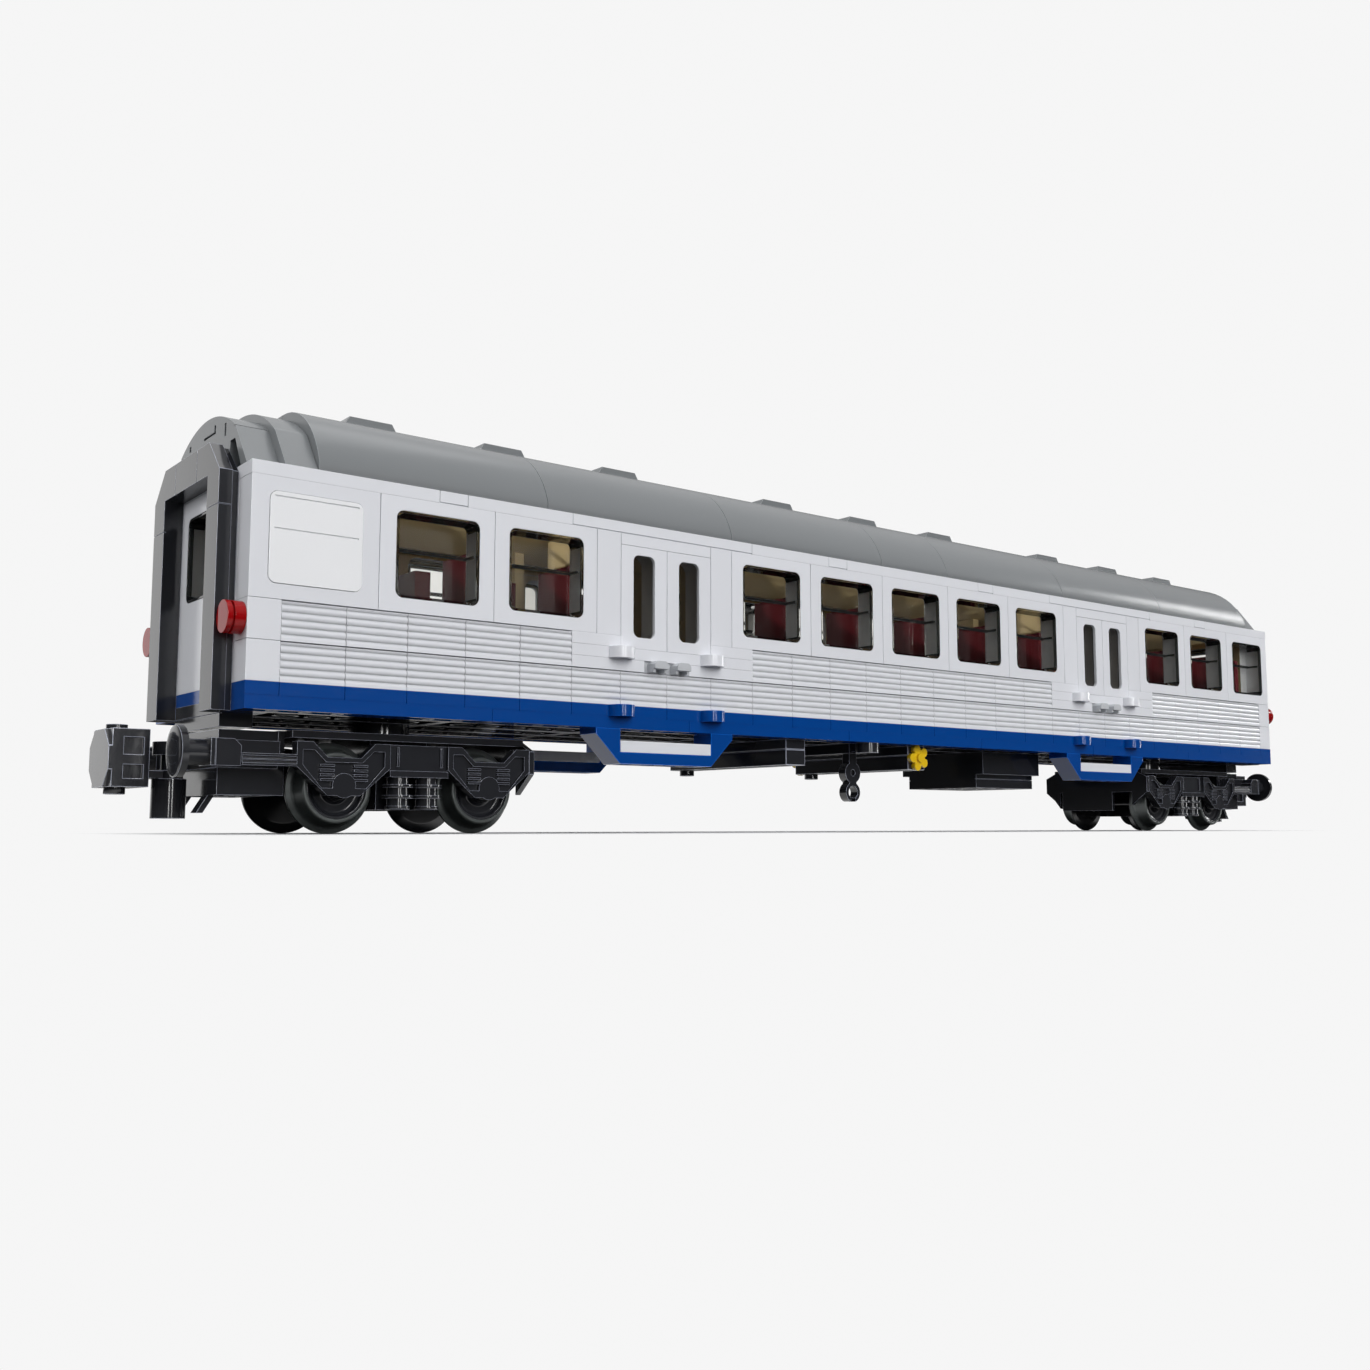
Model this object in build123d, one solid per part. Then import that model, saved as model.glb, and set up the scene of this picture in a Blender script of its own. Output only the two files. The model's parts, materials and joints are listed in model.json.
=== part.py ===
from build123d import *
import os

# Brick-built model of a two-door commuter passenger coach, standing on its wheels.
# Frame: X along the coach, Y across it, Z up, origin at the bottom centre (wheel flanges on Z = 0).

# ---- grid of the building system (mm) ----
stud = 8.0            # pitch of the studs
plate = 3.2           # height of a plate
brick = 3 * plate     # height of a brick
seam = 0.14           # open joint between neighbouring pieces
seam_depth = 0.5      # how deep a scored joint is cut
fit = 0.1             # clearance of an insert in its opening
rim_wall = 1.5        # side walls of a hollow plate, seen from below
cell_h = 1.6          # depth of the hollow under a plate
stud_r = 2.4          # radius of a stud, and of the peg that fits a socket
past = 1.0            # how far a cutting tool runs past a face

# ---- coach body ----
coach_studs = 56      # length of the body in studs
side_studs = 4        # half width of the body in studs
end_x = coach_studs * stud / 2
side_y = side_studs * stud
wall = stud                          # outer wall, one stud thick
inner_y = side_y - wall

# ---- wheels and heights ----
flange_r = 11.2       # radius over the wheel flange
axle_drop = 17.2      # axle centre below the underside of the sill
axle_z = flange_r
sill_z = axle_z + axle_drop          # underside of the blue sill
sill_top = sill_z + 2 * plate
rib_mid = sill_top + brick
rib_top = rib_mid + brick
panel_top = rib_top + 3 * brick
rail_top = panel_top + plate

# ---- side layout, in studs from the left end of the body ----
door_centres = (15, 41)
panel_starts = (0, 4, 8, 18, 22, 26, 30, 34, 44, 48, 52)
panel_studs = 4
column_starts = (12, 17, 38, 43)
blank_start = 0       # the washroom panel, closed by a white insert
door_half = 2 * stud  # half width of a double door
band_half = 4 * stud  # half width of the plain band under a door
long_plate = 8        # studs in one of the sill's long plates

# ---- window opening in a four-stud panel ----
window_w = 23.2
window_h = 21.8
window_sill = 3.6     # from the foot of the panel to the opening
window_r = 2.0
skin = 1.2            # lip of the panel around the insert
insert_wall = 1.0
insert_rim = 0.7      # rim of the insert that shows in the opening
insert_depth = 5.6
transom_at = 12.9     # height of the transom above the opening's foot
transom_bar = 0.32    # height of each of the transom's two bars
transom_gap = 0.75    # pitch of the two bars
transom_out = 0.5     # how far the bars stand out of the pane
runner_r = 0.45       # runner along each side of the insert, level with the transom
blank_proud = 0.2     # how far the white insert stands out of its opening
blank_line = 0.3      # width and depth of the lines moulded in it
blank_top = 20.5      # height of its upper line above the opening's foot

# ---- doors ----
leaf_w = 2 * stud
leaf_base = rib_top - plate
leaf_height = 3 * brick
slot_w = 7.4
slot_h = 23.2
slot_sill = 3.2
slot_r = 1.9
leaf_skin = 1.2
clip_out = 3.0        # how far a clip stands out of the wall
clip_half = 2.4       # half width of a clip
clip_corner = 0.9     # cut corners at the top of a clip
clip_low = 1.0        # height of a clip's block above the foot of its row
clip_leg = 0.9        # width of each leg under the block
clip_recess = 1.6     # depth of the recess behind the clips
eye_r = 1.0           # radius of the eye in the hanger's hub

# ---- step wells ----
step_lip = 1.6        # upright edge above the slope of a step well

# ---- ribbed bricks ----
rib_swell = 0.45      # how far the ribs stand out of the valleys between them
rib_steps = 3         # flats on each half of a rib
rib_pitch = 1.75
valley_first = 1.55   # height of the lowest valley above the brick's foot
valley_count = 5
rib_depth = 2.4       # thickness of the ribbed facing
rib_gap = 0.3         # open joint above a row of ribbed bricks

# ---- roof ----
roof_rise = 19.2
ridge_half = 8.0
roof_lip = 1.7        # upright edge of the roof above the top rail
shell = plate
roof_joints = (2, 10, 18, 26, 30, 38, 46, 54)
rail_joints = (6, 7, 11, 19, 23, 24, 32, 33, 37, 45, 49, 50)
loose_rails = ((6, 7), (11, 19), (23, 24), (32, 33), (37, 45), (49, 50))
vent_studs = (5, 10, 15, 23, 28, 33, 41, 46, 51)
vent_slant = 2.0
crest_high = (24.3, 10.0, 18.6)      # inner step: crease from the middle, crease height, apex height
crest_low = (20.0, 10.8, 16.6)       # outer step
foot_high = side_y - 0.4             # half width of each step at its foot
foot_low = side_y - 3.8
pocket_depth = 4.0                   # hollow under the outer step's slopes
crest_slot = 1.1                     # width of the slots in the outer step

# ---- gangway ----
gangway_half = 3 * stud
gangway_in = 2 * stud
gangway_rise = 8 * stud              # top of the frame above the sill's underside
gangway_shoulder = 56.3              # where its upright sides end
gangway_open = 56.0                  # top of its opening
gangway_joint = 15 * plate           # joint between its posts and its header
gangway_top_half = 16.4
gangway_plate = plate
bellows_plate = plate / 2
bellows_in = 0.6                     # how far the bellows stand back from the frame's edge
lamp_z = rib_mid + 5.0
lamp_drum = 2.6       # depth of a lamp's drum, up to its neck
lamp_neck = 0.5
lamp_lens = 1.2       # thickness of the disc in front of the neck

# ---- bogie ----
bogie_x = 22 * stud   # pivot from the middle of the coach
wheelbase = 5 * stud
bogie_half = 4 * stud # half length of the wheels' frame
tread_r = 9.6
tread_out_r = 8.7
tread_y0 = 15.4
tread_y1 = 20.0
flange_t = 1.6
dish_depth = 1.6
dish_r = 7.0
hub_r = 3.0
hub_out = 0.3
axle_r = 1.5
axle_half = 23.0
bearing_fit = 0.05
side_in = 20.8
side_out = 3 * stud
frame_top = sill_z - 2 * plate
frame_step = frame_top - 2 * plate   # underside of the bolster's arms
frame_low = frame_step - 2 * plate   # underside of the nose and the side frames
frame_half = 1.5 * stud
frame_notch = 3.6     # depth of the notch in the top of a side frame
frame_foot = 4.2      # half width of a side frame's foot
frame_border = 1.5
frame_relief = 0.9
spring_x = 4.3
spring_half = 1.8
spring_pitch = 1.15
spring_coils = 4
pivot_r = stud_r
pivot_fit = 0.1
swivel_gap = 0.4
beam_t = 1.6          # end beam of the bogie
top_plate_h = 1.8     # plate over the wheels
nose_out = 6 * stud   # outer end of the bogie from its pivot
nose_half = 2 * stud
nose_wall = 1.2
tube_r = 3.2          # clutch tubes inside a hollow plate
guard_slant = 2.6     # wheel guard below the nose
guard_h = 4.2
guard_t = 1.6
guard_half = 2.0
damper_y = 2.5 * stud
damper_drums = 3
board_groove = 0.35   # radius of the grooves along the footboard

# ---- buffers and couplers ----
bogie_top = sill_z - plate - swivel_gap
buffer_y = 2.5 * stud
buffer_z = sill_z - brick
buffer_r = 6.0
buffer_stem_r = 3.0
buffer_stem = 5.4
buffer_disc = 1.6
buffer_dome = 0.5
buffer_block = 4.3    # how far the buffer blocks stand out past the end of the body
coupler_x = -end_x - 6.0
coupler_pin_r = 2.0
coupler_half = stud
coupler_top = sill_z - 4.0
coupler_low = sill_z - 17.5
coupler_arm = 7.0     # from the pin to the back of the coupler's block
coupler_long = 8.4
coupler_face = 0.8
coupler_corner = 4.0
coupler_slot = 0.8    # depth of the recesses in its sides
post_low = sill_z - 24.7
post_neck = sill_z - 15.2
post_socket = 4.0

# ---- underframe gear and inside ----
plain_beam = 21       # stud where each cross beam starts
plain_beam_half = 28.8
knob_beam = 28
knob_beam_half = 27.2
beam_wall = 1.6
beam_foot = 1.8       # round foot under one end of each cross beam
knob_r = 4.4
knob_t = 1.6
knob_lobes = 5
hanger_start = 25
hanger_arm = 3 * stud
link_y = 2.5 * stud
link_half = 1.6
link_hub_r = 3.4
link_hub_z = sill_z - 9.3
link_ring_r = 3.2
link_ring_z = sill_z - 15.6
link_hole_r = 2.0
box_start = 34
box_studs = 4
box_half = 2 * stud
seat_pairs = (8, 22, 26, 30, 34, 48, 52)     # benches back to back
seats_forward = (4, 18, 44)                  # single benches that face the high end
seats_back = (12, 38, 55)                    # single benches that face the low end
seat_h = 4 * plate
seat_back_h = 12 * plate
seat_back_t = 2.4
aisle_half = stud
partition_studs = (4, 12, 18, 38, 44)
partition_t = plate

MIRROR_Y = Plane.XZ
MIRROR_X = Plane.YZ


def at(number):
    """X of a stud line counted from the left end of the body."""
    return number * stud - end_x


def block(x0, x1, y0, y1, z0, z1):
    size = Box(abs(x1 - x0), abs(y1 - y0), abs(z1 - z0))
    return Pos((x0 + x1) / 2, (y0 + y1) / 2, (z0 + z1) / 2) * size


def plane_x(x, y=0, z=0):
    return Plane(origin=(x, y, z), x_dir=(0, 1, 0), z_dir=(1, 0, 0))


def plane_y(y, x=0, z=0):
    return Plane(origin=(x, y, z), x_dir=(1, 0, 0), z_dir=(0, -1, 0))


def prism_x(points, x0, x1):
    """Solid with its (y, z) outline swept along X."""
    face = make_face(plane_x(x0) * Polyline(*points, close=True))
    return extrude(face, amount=x1 - x0, dir=(1, 0, 0))


def section_x(edges, x0, x1):
    """Solid with an outline of lines and arcs in (y, z), swept along X."""
    face = make_face([plane_x(x0) * edge for edge in edges])
    return extrude(face, amount=x1 - x0, dir=(1, 0, 0))


def prism_y(points, y0, y1):
    """Solid with its (x, z) outline swept along Y."""
    face = make_face(plane_y(y0) * Polyline(*points, close=True))
    return extrude(face, amount=y1 - y0, dir=(0, 1, 0))


def rod_x(r, x0, x1, y, z):
    return Pos((x0 + x1) / 2, y, z) * Rot(0, 90, 0) * Cylinder(r, abs(x1 - x0))


def rod_y(r, y0, y1, x, z):
    return Pos(x, (y0 + y1) / 2, z) * Rot(90, 0, 0) * Cylinder(r, abs(y1 - y0))


def rod_z(r, z0, z1, x, y):
    return Pos(x, y, (z0 + z1) / 2) * Cylinder(r, abs(z1 - z0))


def rounded_y(x0, x1, z0, z1, r, y0, y1):
    """Block with rounded corners in its (x, z) outline."""
    sketch = RectangleRounded(x1 - x0, z1 - z0, r)
    return extrude(plane_y(y0, (x0 + x1) / 2, (z0 + z1) / 2) * sketch, amount=y1 - y0, dir=(0, 1, 0))


def rounded_x(y0, y1, z0, z1, r, x0, x1):
    """Block with rounded corners in its (y, z) outline."""
    sketch = RectangleRounded(y1 - y0, z1 - z0, r)
    return extrude(plane_x(x0, (y0 + y1) / 2, (z0 + z1) / 2) * sketch, amount=x1 - x0, dir=(1, 0, 0))


def fuse(parts):
    first, *rest = parts
    return first.fuse(*rest) if rest else first


def cut(body, tools):
    return body.cut(*tools) if tools else body


def solids(parts):
    found = []
    for part in parts:
        found += part.solids()
    return found


def other_side(parts):
    return [part.mirror(MIRROR_Y) for part in solids(parts)]


def other_end(parts):
    return [part.mirror(MIRROR_X) for part in solids(parts)]


def moved(parts, x):
    return [Pos(x, 0, 0) * part for part in solids(parts)]


def save(name, parts):
    found = solids(parts)
    shape = found[0] if len(found) == 1 else Compound(found)
    export_step(shape, f"parts/{name}.step")


def save_sides(name, parts):
    """Writes the near side as _right and its mirror image as _left."""
    save(f"{name}_right", parts)
    save(f"{name}_left", other_side(parts))


def save_ends(name, parts):
    """Writes the piece at the low-X end as _a and its mirror image as _b."""
    save(f"{name}_a", parts)
    save(f"{name}_b", other_end(parts))


def hollow_under(x0, x1, y0, y1, z0):
    """Cutting tool for the open underside of a plate."""
    return block(x0 + rim_wall, x1 - rim_wall, y0 + rim_wall, y1 - rim_wall, z0 - past, z0 + cell_h)


# ---------------------------------------------------------------- floor and sills

def floor_deck():
    """Floor plates, hollow underneath."""
    deck = block(-end_x + wall, end_x - wall, -inner_y, inner_y, sill_z, sill_top)
    plate_studs = 6
    cells = []
    for start in range(1, coach_studs - 1, plate_studs):
        for row in (-1, 0, 1):
            mid = row * 2 * stud
            cells.append(hollow_under(at(start), at(start + plate_studs), mid - stud, mid + stud, sill_z))
    return [cut(deck, cells)]


def side_score(number, side, z0, z1):
    """Tool for an upright joint in an outer face of the body."""
    x = at(number)
    return block(x - seam / 2, x + seam / 2, side * (side_y - seam_depth), side * (side_y + past), z0, z1)


def sill_frame():
    """Blue sill all round the floor, two plates high, with its joints scored in."""
    ring = cut(block(-end_x, end_x, -side_y, side_y, sill_z, sill_top),
               [block(-end_x + wall, end_x - wall, -inner_y, inner_y, sill_z - past, sill_top + past)])
    tools = []
    for side in (-1, 1):
        for number in range(1, coach_studs, 2):
            tools.append(side_score(number, side, sill_z + plate, sill_top + past))
        for number in range(long_plate, coach_studs, long_plate):
            tools.append(side_score(number, side, sill_z - past, sill_z + plate))
        mid = side * (side_y + inner_y) / 2
        tools.append(block(-end_x, end_x, side * (side_y - seam), side * (side_y + past),
                           sill_z + plate - seam / 2, sill_z + plate + seam / 2))
        for start in range(0, coach_studs, long_plate):
            tools.append(hollow_under(at(start), at(start + long_plate), mid - wall / 2, mid + wall / 2,
                                      sill_z))
        inner = side * (end_x - wall - past)
        tools.append(block(inner, side * (end_x + past), -gangway_in, gangway_in,
                           sill_z - past, sill_z + plate))
    return [cut(ring, tools)]


def headstocks():
    """Black end beams under the gangways, two plates high."""
    pieces = []
    for side in (-1, 1):
        face = side * end_x
        beam = block(face, face - side * wall, -gangway_in, gangway_in, sill_z - plate, sill_z + plate)
        score = block(face + side * past, face - side * seam_depth, -gangway_in - past, gangway_in + past,
                      sill_z - seam / 2, sill_z + seam / 2)
        pieces.append(cut(beam, [score]))
    return pieces


def step_frame(centre):
    """Blue step well under a door: two inverted slopes and a bottom plate."""
    half_out = door_half + stud
    low = sill_z - brick
    outline = [(-half_out, sill_z), (-half_out, sill_z - step_lip), (-door_half, low), (door_half, low),
               (half_out, sill_z - step_lip), (half_out, sill_z), (door_half, sill_z),
               (door_half, low + plate), (-door_half, low + plate), (-door_half, sill_z)]
    body = Pos(at(centre), 0, 0) * prism_y(outline, -side_y, -inner_y)
    x = at(centre)
    return cut(body, [hollow_under(x - door_half, x + door_half, -side_y, -inner_y, low)])


def step_board(centre):
    """White tread lying in the step well."""
    half = door_half - fit
    x = at(centre)
    return block(x - half, x + half, -side_y, -inner_y, sill_z - 2 * plate, sill_z - plate)


# ---------------------------------------------------------------- side walls

def rib_rows():
    """Start and foot of every two-stud ribbed brick; the upper row stops at the doors."""
    starts = range(1, coach_studs - 1, 2)
    lower = [(start, sill_top) for start in starts]
    upper = [(start, rib_mid) for start in starts
             if all(abs(at(start + 1) - at(centre)) > band_half for centre in door_centres)]
    return lower + upper


def rib_outline(z0, top):
    """Face of a ribbed brick in (y, z): swelling ribs with valleys between them."""
    half = rib_pitch / 2
    radius = (half ** 2 + rib_swell ** 2) / (2 * rib_swell)
    lowest = z0 + valley_first - half
    points = [(-side_y, z0)]
    for number in range(valley_count + 1):
        crown = lowest + number * rib_pitch
        for step in range(-rib_steps, rib_steps):
            level = crown + half * step / rib_steps
            if lowest <= level < top:
                sink = radius - (radius ** 2 - (level - crown) ** 2) ** 0.5
                points.append((-side_y + sink, level))
    return points + [(-side_y, top)]


def ribbed_facing(start, z0):
    """Outer part of a ribbed brick."""
    top = z0 + brick - rib_gap
    back = -side_y + rib_depth
    outline = rib_outline(z0, top) + [(back, top), (back, z0)]
    return prism_x(outline, at(start) + seam / 2, at(start + 2) - seam / 2)


def ribbed_wall():
    """Lower wall: a smooth backing that carries the ribbed facings."""
    facings = [ribbed_facing(start, z0) for start, z0 in rib_rows()]
    back = block(at(1), at(coach_studs - 1), -side_y + rib_depth, -inner_y, sill_top, rib_top)
    gaps = [block(at(centre) - band_half, at(centre) + band_half, -side_y, -inner_y + past,
                  rib_mid, rib_top + past) for centre in door_centres]
    return [fuse([cut(back, gaps)] + facings)]


def corner_bricks():
    """Smooth bricks at the ends of the wall, two high."""
    pieces = []
    for x0 in (at(0), at(coach_studs - 1)):
        for z0 in (sill_top, rib_mid):
            pieces.append(block(x0, x0 + stud, -side_y, -inner_y, z0, z0 + brick - seam / 2))
    return pieces


def door_band(centre):
    """Three plate layers under a door, with the leaves and the clips let in."""
    x = at(centre)
    body = block(x - band_half, x + band_half, -side_y, -inner_y, rib_mid, rib_top)
    notch = block(x - door_half, x + door_half, -side_y - past, -inner_y + past, leaf_base, rib_top + past)
    recess = block(x - stud, x + stud, -side_y - past, -side_y + clip_recess,
                   rib_mid - past, rib_mid + plate)
    lines = [block(x - band_half - past, x + band_half + past, -side_y - past, -side_y + seam_depth / 2,
                   level - seam / 4, level + seam / 4) for level in (rib_mid + plate, leaf_base)]
    return cut(body, [notch, recess] + lines)


def window_opening(x, grow, y0, y1):
    base = rib_top + window_sill
    return rounded_y(x - window_w / 2 - grow, x + window_w / 2 + grow, base - grow,
                     base + window_h + grow, window_r + grow, y0, y1)


def window_panel(start):
    """Four-stud panel: the opening has a lip, behind which the insert sits."""
    x0 = at(start) + seam / 2
    x1 = at(start + panel_studs) - seam / 2
    mid = (x0 + x1) / 2
    body = block(x0, x1, -side_y, -inner_y, rib_top, panel_top)
    lip = window_opening(mid, 0, -side_y - past, -inner_y + past)
    pocket = window_opening(mid, insert_wall, -side_y + skin, -inner_y + past)
    return cut(body, [lip, pocket])


def column(start):
    return block(at(start) + seam / 2, at(start + 1) - seam / 2, -side_y, -inner_y, rib_top, panel_top)


def door_header(centre):
    half = door_half - seam / 2
    x = at(centre)
    return block(x - half, x + half, -side_y, -inner_y, leaf_base + leaf_height + seam / 2, panel_top)


def leaf_slot(x, grow, y0, y1):
    base = leaf_base + slot_sill
    return rounded_y(x - slot_w / 2 - grow, x + slot_w / 2 + grow, base - grow,
                     base + slot_h + grow, slot_r + grow, y0, y1)


def leaf_centres():
    return [at(centre) + side * leaf_w / 2 for centre in door_centres for side in (-1, 1)]


def door_leaf(x):
    """Leaf with a tall slot: a thin face on a deeper frame."""
    half = leaf_w / 2 - seam / 2
    body = block(x - half, x + half, -side_y, -inner_y, leaf_base, leaf_base + leaf_height)
    return cut(body, [leaf_slot(x, 0, -side_y - past, -inner_y + past),
                      leaf_slot(x, insert_wall, -side_y + leaf_skin, -inner_y + past)])


def transom_bars():
    """Lower and upper edge of the two bars across a window."""
    mid = rib_top + window_sill + transom_at
    return [(mid + side * transom_gap / 2 - transom_bar / 2, mid + side * transom_gap / 2 + transom_bar / 2)
            for side in (-1, 1)]


def window_insert(x):
    """Smoked insert: a tub whose rim fills the opening, with a pane at its back."""
    y_face = -side_y + skin + fit
    y_back = y_face + insert_depth
    y_pane = y_back - insert_wall
    rim = window_opening(x, -fit, -side_y, y_face)
    tub = window_opening(x, insert_wall - fit, y_face, y_back)
    hollow = window_opening(x, -insert_rim, -side_y - past, y_pane)
    bars = [block(x - window_w / 2, x + window_w / 2, y_pane - transom_out, y_pane + fit, low, high)
            for low, high in transom_bars()]
    level = rib_top + window_sill + transom_at
    runners = [rod_y(runner_r, y_face, y_pane + fit, x + side * (window_w / 2 - insert_rim), level)
               for side in (-1, 1)]
    return fuse([cut(fuse([rim, tub]), [hollow])] + bars + runners)


def leaf_pane(x):
    y_face = -side_y + leaf_skin + fit
    return leaf_slot(x, insert_wall - fit, y_face, y_face + insert_wall)


def blank_insert(x):
    """White insert that closes the washroom window."""
    behind = -side_y + skin + fit
    face = window_opening(x, -fit, -side_y - blank_proud, behind)
    back = window_opening(x, insert_wall - fit, behind, behind + insert_wall)
    lines = [block(x - window_w / 2 + skin, x + window_w / 2 - skin, -side_y - past, -side_y + blank_line,
                   rib_top + window_sill + level - blank_line / 2,
                   rib_top + window_sill + level + blank_line / 2) for level in (transom_at, blank_top)]
    return cut(fuse([face, back]), lines)


def top_rail():
    """White plates along the top of the wall."""
    body = block(-end_x, end_x, -side_y, -inner_y, panel_top, rail_top)
    tools = [side_score(number, -1, panel_top - past, rail_top + past) for number in rail_joints]
    for first, last in loose_rails:
        tools.append(block(at(first), at(last), -side_y - past, -side_y + seam_depth,
                           panel_top - past, panel_top + seam * 2))
    return [cut(body, tools)]


# ---------------------------------------------------------------- door fittings

def round_plates(z0):
    """One-stud round plates standing half out of the wall beside each door."""
    pieces = []
    r = stud / 2 - seam / 2
    for centre in door_centres:
        for side in (-1, 1):
            x = at(centre) + side * door_half
            drum = rod_z(r, z0, z0 + plate, x, -side_y)
            face = block(x - stud, x + stud, -side_y, 0, z0 - past, z0 + plate + past)
            bore = rod_z(stud_r, z0 - past, z0 + cell_h, x, -side_y)
            pieces.append(cut(drum, [face, bore]))
    return pieces


def door_clips():
    """Clip plates at the foot of each door, two to a door: a block with two legs under it."""
    pieces = []
    top = rib_mid + plate
    low = rib_mid + clip_low
    face = -side_y - clip_out
    back = -side_y + clip_recess
    for centre in door_centres:
        for side in (-1, 1):
            x = at(centre) + side * stud / 2
            outline = [(x - clip_half, low), (x - clip_half, top - clip_corner),
                       (x - clip_half + clip_corner, top), (x + clip_half - clip_corner, top),
                       (x + clip_half, top - clip_corner), (x + clip_half, low)]
            base = block(x - stud / 2 + fit, x + stud / 2 - fit, -side_y + clip_recess / 2, back,
                         rib_mid, top)
            legs = [block(x + hand * clip_half, x + hand * (clip_half - clip_leg),
                          face + clip_leg, back, rib_mid, top - clip_corner) for hand in (-1, 1)]
            pieces.append(fuse([prism_y(outline, face, back), base] + legs))
    return pieces


# ---------------------------------------------------------------- ends

def end_window(grow, x0, x1):
    base = rib_top + window_sill
    return rounded_x(-window_w / 2 - grow, window_w / 2 + grow, base - grow, base + window_h + grow,
                     window_r + grow, x0, x1)


def end_wall():
    body = block(-end_x, -end_x + wall, -inner_y, inner_y, sill_top, rail_top)
    return [cut(body, [end_window(0, -end_x - past, -end_x + wall + past),
                       end_window(insert_wall, -end_x + skin, -end_x + wall + past)])]


def end_insert():
    x_face = -end_x + skin + fit
    x_back = x_face + insert_depth
    x_pane = x_back - insert_wall
    rim = end_window(-fit, -end_x, x_face)
    tub = end_window(insert_wall - fit, x_face, x_back)
    hollow = end_window(-insert_rim, -end_x - past, x_pane)
    bars = [block(x_pane - transom_out, x_pane + fit, -window_w / 2, window_w / 2, low, high)
            for low, high in transom_bars()]
    return [fuse([cut(fuse([rim, tub]), [hollow])] + bars)]


def gangway_ring(shrink, x0, x1):
    half = gangway_half - shrink
    top_half = gangway_top_half - shrink
    foot = sill_z
    shoulder = sill_z + gangway_shoulder
    top = sill_z + gangway_rise - shrink
    opening = sill_z + gangway_open
    outline = [(-half, foot), (-half, shoulder), (-top_half, top), (top_half, top), (half, shoulder),
               (half, foot), (gangway_in, foot), (gangway_in, opening), (-gangway_in, opening),
               (-gangway_in, foot)]
    return prism_x(outline, x0, x1)


def gangway():
    """Black frame round the end doorway, on a thinner bellows plate."""
    x_back = -end_x
    x_mid = x_back - bellows_plate
    x_face = x_mid - gangway_plate
    frame = gangway_ring(0, x_face, x_mid)
    scores = [block(x_face - past, x_face + seam_depth, y - seam / 2, y + seam / 2,
                    sill_z + gangway_open, sill_z + gangway_rise + past) for y in (-stud, stud)]
    level = sill_z + gangway_joint
    for side in (-1, 1):
        scores.append(block(x_face - past, x_face + seam_depth, side * (gangway_in - past),
                            side * (gangway_half + past), level - seam / 2, level + seam / 2))
        scores.append(block(x_face - past, x_mid, side * (gangway_half - seam_depth),
                            side * (gangway_half + past), level - seam / 2, level + seam / 2))
    return [fuse([cut(frame, scores), gangway_ring(bellows_in, x_mid, x_back)])]


def tail_lamps():
    """Red round lamps standing out of the corner bricks."""
    pieces = []
    r = stud / 2 - seam
    x_neck = -end_x - lamp_drum
    x_lens = x_neck - lamp_neck
    for side in (-1, 1):
        y = side * (side_y - stud / 2)
        pieces.append(fuse([rod_x(r, x_neck, -end_x, y, lamp_z),
                            rod_x(r * 0.8, x_lens, x_neck, y, lamp_z),
                            rod_x(r, x_lens - lamp_lens, x_lens, y, lamp_z)]))
    return pieces


# ---------------------------------------------------------------- roof

def roof_arc(inset):
    """Radius, centre height and end points of the roof's side arc, moved in by inset."""
    reach = side_y - ridge_half
    drop = roof_rise - roof_lip
    radius = (reach ** 2 + drop ** 2) / (2 * drop)
    centre = rail_top + roof_rise - radius
    r = radius - inset
    side = reach - inset
    foot = centre + (r ** 2 - side ** 2) ** 0.5
    middle = Vector(0, r).rotate(Axis.Z, Vector(0, 1).get_angle(Vector(-side, foot - centre)) / 2)
    bow = (-ridge_half + middle.X, centre + middle.Y)
    return (-ridge_half, centre + r), bow, (-ridge_half - side, foot)


def roof_side(x0, x1):
    """Curved roof piece on the near side: lip, arc and the edge of the flat ridge."""
    base = rail_top + seam / 2
    top, bow, foot = roof_arc(0)
    top_in, bow_in, foot_in = roof_arc(shell)
    edges = [Line(top_in, top), ThreePointArc(top, bow, foot), Line(foot, (foot[0], base)),
             Line((foot[0], base), (foot_in[0], base)), Line((foot_in[0], base), foot_in),
             ThreePointArc(foot_in, bow_in, top_in)]
    return section_x(edges, x0, x1)


def roof_spans():
    return [(at(a) + seam / 2, at(b) - seam / 2) for a, b in zip(roof_joints, roof_joints[1:])]


def roof_ridge():
    ridge_z = rail_top + roof_rise
    return [block(x0, x1, -ridge_half + seam / 2, ridge_half - seam / 2, ridge_z - shell, ridge_z)
            for x0, x1 in roof_spans()]


def roof_vents():
    """Low vents on the ridge, two studs square, with slanted ends."""
    base = rail_top + roof_rise
    outline = [(-stud, base), (-stud + vent_slant, base + plate),
               (stud - vent_slant, base + plate), (stud, base)]
    return [Pos(at(number), 0, 0) * prism_y(outline, -stud, stud) for number in vent_studs]


def crest_outline(crest, foot, inset=0.0):
    """Sloping sides under a shallow arched top."""
    crease, crease_h, apex_h = crest
    base = rail_top + seam / 2
    y = crease - inset
    z = rail_top + crease_h
    half = foot - inset
    return [Line((-half, base), (half, base)), Line((half, base), (y, z)),
            ThreePointArc((y, z), (0, rail_top + apex_h), (-y, z)), Line((-y, z), (-half, base))]


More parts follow.
